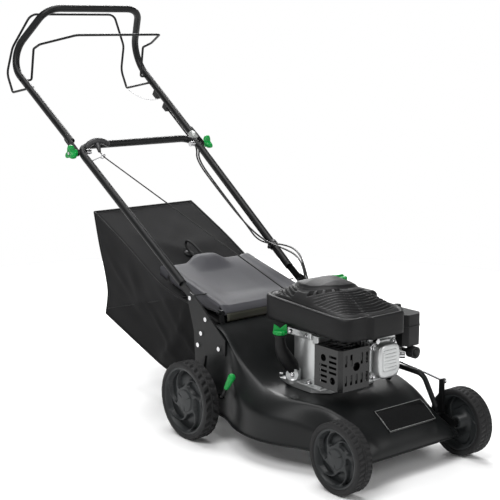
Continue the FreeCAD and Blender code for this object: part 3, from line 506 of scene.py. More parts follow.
# Lines across the tread, as shares of half its width.
TREAD_LINES = [-1.0, -0.97, -0.93, -0.88, -0.86, -0.72, -0.56, -0.4, -0.24, -0.2, -0.16, -0.08, -0.06, 0.0,
               0.06, 0.08, 0.16, 0.2, 0.24, 0.4, 0.56, 0.72, 0.86, 0.88, 0.93, 0.97, 1.0]


def round_axle(mid, x, r, turn):
    """Point at a radius and an angle about a wheel's axle, in the plane at x."""
    return (x, mid.y + r * sin(turn), mid.z + r * cos(turn))


def tyre_skin(node, place, mid, radius, width):
    """Tyre with two rows of slanted lugs and a smooth band between them."""
    lugs = 30 if place == "rear" else 40
    depth = 0.0042 if place == "rear" else 0.0024
    bead = radius - BEAD_DEPTH
    rows = []
    for turn in turns(lugs * 10):
        row = [(mid.x - width / 2 * 0.96, bead)]
        for t in TREAD_LINES:
            edge = abs(t)
            r = radius - depth
            if edge > 0.9:
                r = radius - depth * 0.6 - 0.004 * ((edge - 0.9) / 0.1) ** 2
            elif 0.865 > edge > 0.19:
                phase = (turn * lugs / FULL_TURN + (0.5 if t > 0 else 0.0) + edge * 0.45) % 1.0
                r += depth * smooth(phase, 0.06, 0.16) * smooth(phase, 0.74, 0.64)
            elif edge <= 0.065:
                r = radius - 0.0003
            elif edge > 0.865:
                r = radius - depth * 0.25
            row.append((mid.x + t * width / 2, r))
        row.append((mid.x + width / 2 * 0.99, bead + 0.006))
        row.append((mid.x + width / 2 * 0.96, bead))
        rows.append([round_axle(mid, x, r, turn) for x, r in row])
    rows.append(rows[0])
    ring_skin("tyre_skin_" + node, rows, "tyre_rubber", "wheel_" + node, ("tyre_" + node,),
              merge=MERGE_SEAM)


RIM_ARMS = 6
RIM_STEPS = 240
WEB_RINGS = 26
POCKET_DEPTH = 0.0125
ARM_HALF = 0.0035


def rim_height(r, turn, hub, ring, face_x):
    """How far out the rim's face stands at a radius and an angle: hub cap, groove, swept pockets, edge."""
    if r < hub - 0.001:
        notch = (turn / FULL_TURN * 3) % 1.0
        notched = r > hub - 0.006 and abs(notch - 0.5) < 0.035
        return face_x - 0.001 - 0.0015 * (r / hub) ** 2 - (0.004 if notched else 0.0)
    if r < hub + 0.001:
        return face_x - 0.006
    if r >= ring + 0.0015:
        return face_x
    share = (r - hub) / (ring - hub)
    x = face_x - 0.0045 - 0.0025 * sin(share * pi)
    swirl = 0.95 * share * share
    cell = ((turn + swirl) / FULL_TURN * RIM_ARMS) % 1.0
    off_arm = min(cell, 1.0 - cell) * r * FULL_TURN / RIM_ARMS
    inside = min(off_arm - ARM_HALF, r - hub - 0.006, ring - r - 0.0005)
    corner = min(off_arm - ARM_HALF, 0.01) + min(min(r - hub - 0.006, ring - r), 0.01)
    if inside > 0 and corner > 0.007:
        x -= POCKET_DEPTH * smooth(inside, 0.0, 0.0022)
    return x


def rim_face(node, place, mid, bead, width, outward):
    """Outer face of a rim."""
    ring = bead - 0.007
    hub = 0.03 if place == "rear" else 0.025
    radii = [0.0005, 0.012, hub - 0.0045, hub - 0.002, hub - 0.0005, hub + 0.002]
    radii += even(hub + 0.004, ring - hub - 0.005, WEB_RINGS - 1)
    radii += [ring + 0.001, ring + 0.002, bead - 0.001, bead]
    face_x = width / 2 - 0.0022
    rows = []
    for turn in turns(RIM_STEPS):
        rows.append([round_axle(mid, mid.x + outward * rim_height(r, turn, hub, ring, face_x), r, turn)
                     for r in radii])
    rows.append(rows[0])
    skin("rim_face_" + node, rows, "wheel_plastic", "wheel_" + node, ("rim_" + node,), merge=MERGE_SEAM)


def rim_back(node, mid, bead, outward):
    """Rim's seat for the tyre, its inner side and its hub; the profile lists (across, radius)."""
    profile = [(0.0195, bead - 0.0002), (-0.0195, bead - 0.0002), (-0.0195, bead - 0.005),
               (0.003, bead - 0.008), (0.003, 0.018), (-0.0175, 0.017), (-0.0175, 0.0063), (0.01, 0.0063)]
    rows = []
    for turn in turns(96) + [FULL_TURN]:
        rows.append([round_axle(mid, mid.x + outward * x, r, turn) for x, r in profile])
    skin("rim_back_" + node, rows, "wheel_plastic", "wheel_" + node, merge=MERGE_SEAM)


def wheel(side, place):
    """Tyre and rim of one wheel; the rim's pockets face outwards."""
    node = place + "_" + side
    low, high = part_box("tyre_" + node)
    mid = (low + high) / 2
    radius = (high.z - low.z) / 2
    width = high.x - low.x
    outward = 1.0 if side == "left" else -1.0
    tyre_skin(node, place, mid, radius, width)
    rim_face(node, place, mid, radius - BEAD_DEPTH, width, outward)
    rim_back(node, mid, radius - BEAD_DEPTH, outward)


for wheel_place in ("rear", "front"):
    for wheel_side in ("left", "right"):
        wheel(wheel_side, wheel_place)


# ---------- rear flap
FLAP_FRONT_Y = -0.212
FLAP_LENGTH = 0.276
FLAP_HALF = 0.149
FLAP_SIDE_X = 0.1515
FLAP_STEPS = 60


def flap_z(x, y):
    """Height of the flap's top: sloping, with raised sides and a bulge at its rear middle."""
    base = 0.331 + (y - FLAP_FRONT_Y) * 0.2428
    edge = abs(x)
    z = base + 0.004 * smooth(edge, 0.122, 0.14)
    z -= 0.01 * smooth(edge, 0.13, 0.05) * smooth(y, -0.19, -0.12)
    z += 0.01 * smooth(y, -0.1, 0.045) * smooth(edge, 0.13, 0.05)
    z += 0.02 * smooth(edge, 0.072, 0.018) * smooth(y, -0.01, 0.045)
    z -= 0.006 * smooth(y, 0.052, 0.064)
    return z


flap_rows = []
for v in even(0.0, 1.0, FLAP_STEPS):
    y = FLAP_FRONT_Y + FLAP_LENGTH * v
    row = [(FLAP_SIDE_X, y + 0.001, flap_z(0.148, y) - 0.004)]
    for x in even(FLAP_HALF, -2 * FLAP_HALF, FLAP_STEPS):
        row.append((x, y + (0.01 * smooth(abs(x), 0.07, 0.02) if v > 0.98 else 0.0), flap_z(x, y)))
    row.append((-FLAP_SIDE_X, y + 0.001, flap_z(0.148, y) - 0.004))
    flap_rows.append(row)
front_roll = [[(x, y - 0.003, z - 0.005) for x, y, z in flap_rows[0]],
              [(x, -0.2315, 0.3205) for x, y, z in flap_rows[0]],
              [(x, -0.23, 0.312) for x, y, z in flap_rows[0]],
              [(x, -0.22, 0.3085) for x, y, z in flap_rows[0]]]
verts, faces = grid_faces(front_roll[::-1] + flap_rows)
piece("flap_skin", verts, faces, "flap_plastic", "rear_flap", ("rear_flap",), thick=0.0032)
# Lower edge of the flap's sides: y, z.
SKIRT = [(-0.205, 0.313), (-0.15, 0.316), (-0.075, 0.336), (-0.01, 0.352), (0.018, 0.3595), (0.0185, 0.376),
         (0.026, 0.378), (0.03, 0.362), (0.066, 0.372)]
for sign in (-1, 1):
    rows = []
    for y in even(-0.206, 0.271, 48):
        top = flap_z(0.148, y) - 0.003
        low = table(SKIRT, y)
        rows.append([(sign * 0.1516, y, top), (sign * 0.152, y, top - 0.3 * (top - low)),
                     (sign * 0.152, y, top - 0.7 * (top - low)), (sign * 0.152, y, low)])
    skin("flap_skirt_%s" % ("left" if sign > 0 else "right"), rows, "flap_plastic", "rear_flap",
         thick=0.003)
rows = []
for x in even(0.146, -0.292, 30):
    rows.append([(x, -0.231, 0.3165), (x, -0.2345, 0.313), (x, -0.236, 0.299), (x, -0.235, 0.295)])
skin("deck_seal_strip", rows, "olive_strip", "root", thick=0.002)


# ---------- tubes, turned pieces and cords
def through(points, steps=8, closed=False):
    """Points on a smooth line that passes through the given points."""
    pts = [Vector(p) for p in points]
    count = len(pts)
    line = []
    for i in range(count if closed else count - 1):
        if closed:
            a, b, c, d = pts[i - 1], pts[i], pts[(i + 1) % count], pts[(i + 2) % count]
        else:
            a, b, c, d = pts[max(0, i - 1)], pts[i], pts[i + 1], pts[min(count - 1, i + 2)]
        for j in range(steps):
            t = j / steps
            line.append(0.5 * (2 * b + (c - a) * t + (2 * a - 5 * b + 4 * c - d) * t * t
                               + (3 * b - a - 3 * c + d) * t ** 3))
    if not closed:
        line.append(pts[-1])
    return line


MERGE_POINTS = 1e-6


def tube(name, points, radius, mat, body, hides=(), sides=14, closed=False, flatten=1.0, radii=None,
         up=(0, 0, 1)):
    """Bar along a line; radii gives its radius point by point, flatten thins it across up."""
    pts = [Vector(p) for p in points]
    count = len(pts)
    side = Vector(up).cross(pts[1] - pts[0])
    rows = []
    for i, point in enumerate(pts):
        if closed:
            run = pts[(i + 1) % count] - pts[i - 1]
        else:
            run = pts[min(i + 1, count - 1)] - pts[max(i - 1, 0)]
        run.normalize()
        side = (side - run * side.dot(run)).normalized()
        other = run.cross(side)
        r = radii[i] if radii else radius
        ring = []
        for turn in turns(sides):
            ring.append(point + side * cos(turn) * r + other * sin(turn) * r * flatten)
        rows.append(ring)
    if closed:
        rows.append(rows[0])
    verts, faces = grid_faces(rows, wrap=True)
    if not closed:
        faces.append(tuple(range(sides)))
        faces.append(tuple(len(verts) - sides + j for j in range(sides)))
    return piece(name, verts, faces, mat, body, hides, merge=MERGE_POINTS if closed else 0.0)


def turned(name, centre, axis, profile, mat, body, hides=(), sides=32, bevel=0.0, flat=False):
    """Body of revolution; the profile lists (along the axis, radius)."""
    centre = Vector(centre)
    axis = Vector(axis).normalized()
    side = axis.orthogonal().normalized()
    other = axis.cross(side)
    rows = []
    for along, radius in profile:
        row = []
        for turn in turns(sides):
            row.append(centre + axis * along + (side * cos(turn) + other * sin(turn)) * radius)
        rows.append(row)
    return ring_skin(name, rows, mat, body, hides, merge=MERGE_POINTS, bevel=bevel, flat=flat)


def bolt(name, centre, axis, radius, height, body, mat="bright_steel"):
    """Hexagon head on its flange."""
    turned(name + "_flange", centre, axis, [(0, 0), (0, radius * 1.35), (height * 0.22, radius * 1.3),
                                           (height * 0.25, 0)], mat, body)
    turned(name + "_head", centre, axis, [(0, 0), (0, radius), (height * 0.85, radius),
                                          (height, radius * 0.8), (height, 0)], mat, body, sides=6,
           flat=True, bevel=0.0005)


def smooth_curve(name, points, resolution):
    """Curve data with one NURBS spline whose control points are the route's points."""
    data = bpy.data.curves.new(name, "CURVE")
    data.dimensions = "3D"
    spline = data.splines.new("NURBS")
    spline.points.add(len(points) - 1)
    for place, point in zip(spline.points, points):
        place.co = (*point, 1.0)
    spline.order_u = 3
    spline.use_endpoint_u = True
    spline.resolution_u = resolution
    data.resolution_u = resolution
    return data


def cord(name, points, diameter, mat, body, node):
    """Free cable or rope on one smooth spline with the route's points."""
    data = smooth_curve(name, points, 14)
    data.bevel_depth = diameter / 2
    data.bevel_resolution = 4
    data.use_fill_caps = True
    data.materials.append(MAT[mat])
    obj = bpy.data.objects.new(name, data)
    scene.collection.objects.link(obj)
    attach(obj, body)
    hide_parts(node)
    return obj


CABLE = 0.005
ROPE = 0.0036
BAIL_WIRE = 0.0018
cord("cable_upper_drive", [(0.218, 0.5734, 0.7999), (0.2143, 0.487, 0.7439), (0.2106, 0.4009, 0.6879)],
     CABLE, "cable_jacket", "upper_handle", "cables_upper")
cord("cable_upper_brake", [(0.2295, 0.6319, 0.8379), (0.2246, 0.5164, 0.7629), (0.2196, 0.4009, 0.6879)],
     CABLE, "cable_jacket", "upper_handle", "cables_upper")


def stretching_cord(name, points, diameter, mat, node):
    """Cord as a mesh tube along its spline, set on no body."""
    route_obj = bpy.data.objects.new(name + "_route", smooth_curve(name + "_route", points, 40))
    scene.collection.objects.link(route_obj)
    bpy.context.view_layer.update()
    route_mesh = bpy.data.meshes.new_from_object(route_obj)
    line = [v.co.copy() for v in route_mesh.vertices]
    bpy.data.objects.remove(route_obj)
    obj = tube(name, line, diameter / 2, mat, None, sides=12)
    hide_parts(node)
    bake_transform(obj)
    return obj


# The lower cables bend at the handle's fold, the rope follows the grip and the wire follows the drive bail.
drive_route = [
    (0.2106, 0.4001, 0.6874), (0.2098, 0.3824, 0.6759), (0.193, 0.365, 0.64), (0.186, 0.25, 0.565),
    (0.181, 0.11, 0.478), (0.17, 0.005, 0.44), (0.154, -0.104, 0.435), (0.106, -0.22, 0.438),
    (0.062, -0.3, 0.415), (0.052, -0.318, 0.372)]
stretching_cord("cable_lower_drive", drive_route, CABLE, "cable_jacket", "cables_lower")
brake_route = [
    (0.2196, 0.4001, 0.6874), (0.2188, 0.3824, 0.6759), (0.202, 0.367, 0.64), (0.196, 0.252, 0.563),
    (0.19, 0.112, 0.472), (0.182, 0.04, 0.428), (0.164, -0.092, 0.444), (0.118, -0.204, 0.45),
    (0.076, -0.282, 0.428), (0.064, -0.312, 0.385)]
stretching_cord("cable_lower_brake", brake_route, CABLE, "cable_jacket", "cables_lower")
rope_route = [(-0.08, -0.39, 0.398), (-0.1794, 0.2693, 0.6713), (-0.184, 0.3, 0.684),
              (-0.176, 0.331, 0.694)]
stretching_cord("starter_cord", rope_route, ROPE, "rope_fibre", "starter_rope")
wire_route = [(0.2135, 0.7765, 0.8395), (0.214, 0.68, 0.8), (0.2241, 0.6155, 0.8159)]
stretching_cord("bail_wire", wire_route, BAIL_WIRE, "plain_steel", "drive_wire")


# ---------- grass bag
# The side panel's four edges, in the plane x = 0.
bag_top = through([(0, -0.202, 0.288), (0, -0.1, 0.318), (0, 0.04, 0.357), (0, 0.2, 0.436),
                   (0, 0.37, 0.513)])
bag_low = through([(0, -0.133, 0.114), (0, -0.06, 0.112), (0, 0.02, 0.123), (0, 0.16, 0.166),
                   (0, 0.316, 0.217)])
bag_back = through([(0, 0.316, 0.217), (0, 0.302, 0.285), (0, 0.318, 0.35), (0, 0.345, 0.425),
                    (0, 0.37, 0.513)])
bag_front = through([(0, -0.133, 0.114), (0, -0.156, 0.172), (0, -0.179, 0.23), (0, -0.202, 0.288)])


def on_line(line, t):
    """Point at a share t of the way along a line of points."""
    place = t * (len(line) - 1)
    i = min(int(place), len(line) - 2)
    return line[i].lerp(line[i + 1], place - i)


def side_point(u, v):
    """Point of the side panel in its plane; u runs to the rear and v upwards."""
    flat_part = on_line(bag_low, u) * (1 - v) + on_line(bag_top, u) * v
    bent_part = on_line(bag_front, v) * (1 - u) + on_line(bag_back, v) * u
    corners = (bag_low[0] * (1 - u) * (1 - v) + bag_low[-1] * u * (1 - v) + bag_top[0] * (1 - u) * v
               + bag_top[-1] * u * v)
    return flat_part + bent_part - corners


BAG_HALF_FRONT = 0.15
BAG_HALF_REAR = 0.175
CREASES = 16
CREASE_SEED = 11


def bag_half(u):
    """Half of the bag's width, which grows to the rear."""
    return BAG_HALF_FRONT + 0.025 * smooth(u, 0.0, 0.5)


# Each crease: place u and v, lean, width, height, reach.
chance = random.Random(CREASE_SEED)
creases = []
for k in range(CREASES):
    creases.append((chance.random(), chance.random(), chance.uniform(0.9, 2.1), chance.uniform(0.02, 0.05),
                    chance.uniform(0.0024, 0.0062), chance.uniform(0.15, 0.45)))


def crumple(u, v, seed):
    """Depth of the cloth's folds at a place on a panel."""
    depth = 0.0045 * noise.noise(Vector((u * 3.1 + seed, v * 2.3, seed)))
    depth += 0.0016 * noise.noise(Vector((u * 9.0, v * 7.0 + seed, seed)))
    for cu, cv, lean, width, height, reach in creases:
        du = u - (cu + seed * 0.37) % 1.0
        dv = v - cv
        across = du * sin(lean) - dv * cos(lean)
        along = du * cos(lean) + dv * sin(lean)
        depth += height * exp(-(across / width) ** 2 - (along / reach) ** 2)
    return depth


def bag_panel(place, columns, rows_count):
    """Grid of one panel; place gives its point, the way its folds move, the folds' seed and its sag."""
    rows = []
    for i in range(columns + 1):
        row = []
        for j in range(rows_count + 1):
            u = i / columns
            v = j / rows_count
            point, out, seed, sag = place(u, v)
            hold = min(1.0, 6.0 * u, 6.0 * (1 - u), 6.0 * v, 6.0 * (1 - v))
            round_in = sin(pi * u) * sin(pi * v)
            row.append(point + out * (crumple(u, v, seed) * hold - sag * round_in))
        rows.append(row)
    return rows


def side_panel(sign):
    """Place function of the side panel at +X or -X."""
    def place(u, v):
        point = side_point(u, v)
        return (Vector((sign * bag_half(u), point.y, point.z)), Vector((sign, 0, 0)), 1.0 + sign * 0.4,
                0.01)
    return place


def top_panel(u, v):
    point = on_line(bag_top, u)
    return Vector(((2 * v - 1) * bag_half(u), point.y, point.z)), Vector((0, -0.35, 0.94)), 3.2, 0.008


def low_panel(u, v):
    point = on_line(bag_low, u)
    return Vector(((2 * v - 1) * bag_half(u), point.y, point.z)), Vector((0, 0.2, -0.98)), 4.7, -0.01


def back_panel(u, v):
    point = on_line(bag_back, u)
    return Vector(((2 * v - 1) * bag_half(1.0), point.y, point.z)), Vector((0, 0.95, -0.25)), 6.1, 0.006


def seam_height(y):
    """Height of the seam between the mesh cloth above and the plain cloth below."""
    return 0.267 - 0.268 * (y - 0.182)


PANEL_COLUMNS = 44
PANEL_ROWS = 30
bag_patches = [bag_panel(place, PANEL_COLUMNS, PANEL_ROWS)
               for place in (side_panel(-1), side_panel(1), top_panel, low_panel)]
bag_patches.append(bag_panel(back_panel, PANEL_ROWS, PANEL_ROWS))
verts = []
faces = []
for rows in bag_patches:
    patch_verts, patch_faces = grid_faces(rows)
    faces += [tuple(len(verts) + n for n in face) for face in patch_faces]
    verts += patch_verts
bag = piece("bag_cloth", verts, faces, "bag_fabric", "grass_bag", ("grass_bag",), merge=0.0008)
bag.data.materials.append(MAT["bag_mesh"])
for polygon in bag.data.polygons:
    if polygon.center.z > seam_height(polygon.center.y) and polygon.center.y > -0.16:
        polygon.material_index = 1
wall = bag.modifiers.new("wall", "SOLIDIFY")
wall.thickness = 0.0012
wall.offset = -1.0


def bag_binding(name, line, radius):
    """Flat tape sewn over an edge of the bag."""
    tube(name, line, radius, "bag_trim", "grass_bag", flatten=0.8)


WIDE_TAPE = 0.0032
TAPE = 0.003
shares = [i / 30 for i in range(31)]
for sign, side_name in ((-1, "right"), (1, "left")):
    for edge_name, places, tape in (("top", [(u, 1.0) for u in shares], WIDE_TAPE),
                                    ("low", [(u, 0.0) for u in shares], TAPE),
                                    ("back", [(1.0, v) for v in shares], TAPE)):
        edge = [Vector((sign * bag_half(u), *side_point(u, v)[1:])) for u, v in places]
        bag_binding("bag_edge_%s_%s" % (edge_name, side_name), edge, tape)
    seam = []
    for y in even(-0.15, 0.455, 30):
        z = seam_height(y)
        u = (y + 0.165) / 0.48
        depth = 0.01 * sin(pi * min(1.0, max(0.0, u))) * 0.8
        seam.append(Vector((sign * (bag_half(u) - depth + 0.0012), y, z)))
    tube("bag_seam_" + side_name, seam, 0.0016, "bag_trim", "grass_bag", sides=8)
for name, line in (("bag_edge_rear_top", bag_top), ("bag_edge_rear_low", bag_low)):
    point = line[-1]
    across = [Vector((x, point.y, point.z)) for x in even(-BAG_HALF_REAR, 2 * BAG_HALF_REAR, 20)]
    bag_binding(name, across, WIDE_TAPE)
frame_loop = [(-0.146, -0.188, 0.283), (0.0, -0.188, 0.283), (0.146, -0.188, 0.283), (0.144, -0.156, 0.203),
              (0.146, -0.126, 0.124), (0.0, -0.126, 0.124), (-0.146, -0.126, 0.124),
              (-0.144, -0.156, 0.203)]
tube("bag_wire_frame", through(frame_loop, 6, True), 0.0034, "tube_paint", "grass_bag", ("bag_frame",),
     closed=True)
grip_mid = Vector((0.0, 0.104, 0.409))
grip_run = Vector((0.0, 0.9, 0.436))
grip_rise = Vector((0.0, -0.436, 0.9))
grip = []
for turn in turns(48):
    c = cos(turn)
    n = sin(turn)
    along = 0.055 * copysign(abs(c) ** 0.7, c)
    rise = 0.015 * copysign(abs(n) ** 0.8, n)
    grip.append(grip_mid + grip_run * along + grip_rise * rise)
tube("bag_grip_loop", grip, 0.0036, "bag_trim", "grass_bag", closed=True, up=(1, 0, 0))
for i, (y, z) in enumerate(((0.07, 0.373), (0.138, 0.405))):
    turned("bag_grip_foot_%d" % i, (0, y, z - 0.003), (0, -0.4, 0.92),
           [(0, 0), (0, 0.015), (0.003, 0.014), (0.004, 0)], "bag_trim", "grass_bag")


# ---------- handle details
FOLD_Y = 0.3776
FOLD_Z = 0.69
KNOB_HUB = 0.0105
# Rings of the knob: place along its axis, share of the lobes, size.
KNOB_RINGS = ((0.0, 0.0, 0.55), (0.0, 0.0, 1.0), (0.004, 0.0, 1.0), (0.007, 0.35, 0.98), (0.01, 0.85, 0.97),
              (0.013, 1.0, 0.98), (0.02, 1.0, 1.0), (0.0245, 1.0, 0.97), (0.026, 0.96, 0.86),
              (0.0255, 0.9, 0.6), (0.023, 0.5, 0.3), (0.023, 0.0, 0.0))


def knob_radius(turn):
    """Radius of the clamping knob's three lobes."""
    lobe = 0.5 + 0.5 * cos(3 * (turn - pi / 2))
    return KNOB_HUB + 0.0135 * lobe ** 1.3


for side_name, sign in (("right", -1), ("left", 1)):
    low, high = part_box("knob_" + side_name)
    start = high[0] if sign < 0 else low[0]
    rows = []
    for along, share, bulge in KNOB_RINGS:
        row = []
        for turn in turns(72):
            r = (KNOB_HUB * (1 - share) + knob_radius(turn) * share) * bulge
            row.append((start + sign * along, FOLD_Y + r * cos(turn), FOLD_Z + r * sin(turn)))
        rows.append(row)
    ring_skin("knob_wing_" + side_name, rows, "green_plastic", "knob_" + side_name, ("knob_" + side_name,),
              merge=MERGE_POINTS, bevel=0.0006)
    turned("fold_nut_" + side_name, (start + sign * 0.0228, FOLD_Y, FOLD_Z), (sign, 0, 0),
           [(0, 0), (0, 0.0055), (0.0032, 0.005), (0.0036, 0)], "bright_steel", "knob_" + side_name,
           sides=6, flat=True)
grip_line = through([(-0.1975, 0.366, 0.702), (-0.192, 0.366, 0.712), (-0.176, 0.366, 0.7195),
                     (-0.158, 0.366, 0.7215), (-0.14, 0.366, 0.7175), (-0.124, 0.366, 0.708)], 6)
widths = [0.0075 + 0.0025 * sin(pi * i / (len(grip_line) - 1)) for i in range(len(grip_line))]
tube("starter_handle", grip_line, 0.0, "grip_plastic", "starter_grip", ("starter_grip",), radii=widths,
     sides=20)
stem = [(-0.164, 0.364, 0.716), (-0.167, 0.356, 0.709), (-0.171, 0.344, 0.702), (-0.1757, 0.332, 0.6945)]
tube("starter_stem", stem, 0.0, "grip_plastic", "starter_grip", radii=[0.0085, 0.0078, 0.0062, 0.0046],
     sides=20)
leg = [Vector((0.2118 + 0.066 * h, 0.316 + 1.54 * h, 0.65 + h)) for h in (0.052, 0.069)]
tube("rating_plate", leg, 0.01135, "plate_metal", "upper_handle", sides=28)
leg = [Vector((0.1798 + 0.0752 * h, -0.2085 + 1.505 * h, 0.3 + h)) for h in (0.124, 0.133)]
tube("cable_tie", leg, 0.0142, "black_plastic", "root", sides=10)
turned("cable_tie_lug", (0.177, -0.016, 0.427), (-0.8, -0.4, -0.4),
       [(0, 0), (0, 0.006), (0.009, 0.005), (0.01, 0)], "black_plastic", "root", sides=8)


# ---------- engine details
# Material and body of the engine's castings and mouldings.
CAST = ("cast_aluminium", "root")
MOULDED = ("black_plastic", "root")


def block(name, low, high, mat, body, bevel):
    """Cast or moulded block with rounded edges."""
    x0, y0, z0 = low
    x1, y1, z1 = high
    verts = [(x0, y0, z0), (x1, y0, z0), (x1, y1, z0), (x0, y1, z0),
             (x0, y0, z1), (x1, y0, z1), (x1, y1, z1), (x0, y1, z1)]
    faces = [(0, 3, 2, 1), (4, 5, 6, 7), (0, 1, 5, 4), (1, 2, 6, 5), (2, 3, 7, 6), (3, 0, 4, 7)]
    piece(name, verts, faces, mat, body, bevel=bevel, flat=True)


PLATE_STEPS = 64


def rounded_plate(name, centre_x, centre_z, half_x, half_z, y_back, y_front, mat, body, hides=(), power=5.0,
                  rim=0.002):
    """Plate that faces the front, with round corners and rolled edges."""
    rows = []
    for share, y in ((1.0, y_back), (1.0, y_front + rim), (1.0 - rim * 0.3 / half_x, y_front + rim * 0.3),
                     (1.0 - rim / half_x, y_front), (0.8, y_front), (0.45, y_front), (0.02, y_front)):
        row = []
        for turn in turns(PLATE_STEPS):
            c = cos(turn)
            n = sin(turn)
            reach = squared_reach(c, n, half_x, half_z, power)
            row.append((centre_x + reach * c * share, y, centre_z + reach * n * share))
        rows.append(row)
    verts, faces = grid_faces(rows, wrap=True)
    faces.append(tuple(range(len(verts) - PLATE_STEPS, len(verts))))
    piece(name, verts, faces, mat, body, hides)


def fluted(name, centre, rings, flutes, sides, mat, body, node):
    """Cap or knob with a wavy side; the rings list (z, radius, height of the waves)."""
    rows = []
    for z, radius, wave in rings:
        row = []
        for turn in turns(sides):
            r = radius + wave * cos(flutes * turn)
            row.append((centre[0] + r * cos(turn), centre[1] + r * sin(turn), z))
        rows.append(row)
    ring_skin(name, rows, mat, body, (node,), merge=MERGE_POINTS)


rounded_plate("valve_cover_flange", 0.024, 0.254, 0.041, 0.0475, -0.6245, -0.631, *CAST, ("valve_cover",))
rounded_plate("valve_cover_dome", 0.024, 0.254, 0.036, 0.043, -0.63, -0.659, *CAST, power=4.0, rim=0.0055)
rounded_plate("valve_cover_pad", 0.024, 0.257, 0.0245, 0.027, -0.658, -0.6608, *CAST, power=7.0, rim=0.0014)
for i in range(5):
    z = 0.24 + 0.0085 * i
    tube("valve_cover_rib_%d" % i, [(0.004, -0.6606, z), (0.01, -0.6612, z), (0.038, -0.6612, z),
                                    (0.044, -0.6606, z)], 0.0011, *CAST, sides=8)
for i, (x, z) in enumerate(((-0.0115, 0.2905), (0.0595, 0.2905), (0.0595, 0.2175), (-0.0115, 0.2175))):
    turned("cover_lug_%d" % i, (x, -0.6255, z), (0, -1, 0),
           [(0, 0), (0, 0.0095), (0.01, 0.0088), (0.0105, 0)], *CAST)
    bolt("cover_bolt_%d" % i, (x, -0.636, z), (0, -1, 0), 0.0052 if i else 0.0072, 0.006, "root")
turned("exhaust_stud", (-0.0125, -0.642, 0.3085), (0, -1, 0),
       [(0, 0), (0, 0.007), (0.012, 0.0068), (0.0135, 0)], "bright_steel", "root", sides=6, flat=True)
for i in range(9):
    z = 0.212 + 0.0108 * i
    rounded = [(-0.016, -0.566, z), (-0.016, -0.6215, z), (0.078, -0.6215, z), (0.078, -0.566, z)]
    tube("head_fin_%d" % i, rounded, 0.0024, *CAST, sides=8)
CASE_RADIUS = 0.0805
for i, angle in enumerate((168, 182, 196, 210, 224, 238)):
    x = CASE_RADIUS * cos(radians(angle))
    y = CRANK_Y + CASE_RADIUS * sin(radians(angle))
    tube("case_rib_%d" % i, [(x, y, 0.184), (x, y, 0.24), (x, y, 0.3)], 0.0026, *CAST, sides=8)
block("case_bracket", (-0.096, -0.505, 0.293), (-0.07, -0.415, 0.312), *CAST, 0.003)
block("case_bracket_end", (-0.09, -0.526, 0.285), (-0.058, -0.504, 0.306), *CAST, 0.002)
for i, (y, z) in enumerate(((-0.43, 0.3025), (-0.488, 0.3025))):
    bolt("bracket_bolt_%d" % i, (-0.0958, y, z), (-1, 0, 0), 0.0045, 0.005, "root")
block("base_flange", (-0.113, -0.56, 0.1775), (-0.06, -0.47, 0.186), *CAST, 0.003)
for i, (x, y) in enumerate(((-0.098, -0.395), (-0.1, -0.505), (0.088, -0.52), (0.088, -0.392))):
    bolt("base_bolt_%d" % i, (x, y, 0.18 if i != 1 else 0.1858), (0, 0, 1), 0.0062, 0.007, "root")
turned("oil_boss_face", (-0.11, -0.454, 0.198), (-0.78, -0.62, 0.1),
       [(0, 0), (0, 0.017), (0.006, 0.0165), (0.0075, 0.015), (0.0065, 0.013), (0.005, 0.01), (0.005, 0.0)],
       *CAST)
bolt("oil_boss_bolt", (-0.114, -0.457, 0.1985), (-0.78, -0.62, 0.1), 0.0045, 0.005, "root")

# Filler neck: a wide moulded tube that swells towards its foot.
neck = through([(-0.138, -0.438, 0.3035), (-0.138, -0.438, 0.285), (-0.134, -0.439, 0.262),
                (-0.122, -0.441, 0.24), (-0.108, -0.444, 0.22), (-0.101, -0.445, 0.2)], 6)
wide = []
for share in even(0.0, 1.0, len(neck) - 1):
    wide.append(0.013 + 0.006 * smooth(share, 0.15, 0.65) - 0.003 * smooth(share, 0.8, 1.0))
tube("filler_neck", neck, 0.0, *MOULDED, ("oil_filler_tube",), radii=wide, sides=28)
turned("filler_collar", (-0.138, -0.438, 0.2965), (0, 0, 1),
       [(0, 0.0128), (0, 0.0152), (0.005, 0.0152), (0.006, 0.0128)], *MOULDED)
OIL_CAP_X = -0.138
OIL_CAP_Y = -0.438
fluted("oil_cap_body", (OIL_CAP_X, OIL_CAP_Y), (
    (0.3036, 0.0, 0.0), (0.3036, 0.0165, 0.0), (0.305, 0.0178, 0.0005), (0.31, 0.0178, 0.0009),
    (0.3122, 0.0165, 0.0005), (0.313, 0.012, 0.0), (0.313, 0.0, 0.0)),
    12, 96, "green_plastic", "oil_cap", "oil_cap")

# The cap's grip: a thin wall across it, along the direction (WING_C, -WING_S).
WING_C = 0.78
WING_S = 0.62
WING_HALF = 0.017
WING_THICK = 0.0026
WING_FOOT = 0.3125
wing_rows = []
for k in range(25):
    t = -1.0 + 2.0 * k / 24
    x = OIL_CAP_X + WING_HALF * t * WING_C
    y = OIL_CAP_Y - WING_HALF * t * WING_S
    top = 0.313 + 0.0125 * (abs(t) ** 0.7) * smooth(1.02 - abs(t), 0.0, 0.12) + 0.003
    dx = WING_S * WING_THICK
    dy = WING_C * WING_THICK
    wing_rows.append([(x - dx, y - dy, WING_FOOT), (x - dx, y - dy, top), (x, y, top + 0.0012),
                      (x + dx, y + dy, top), (x + dx, y + dy, WING_FOOT)])
verts, faces = grid_faces(wing_rows)
faces += [tuple(range(5)), tuple(len(verts) - 5 + j for j in range(5))]
piece("oil_cap_wing", verts, faces, "green_plastic", "oil_cap", bevel=0.0006)
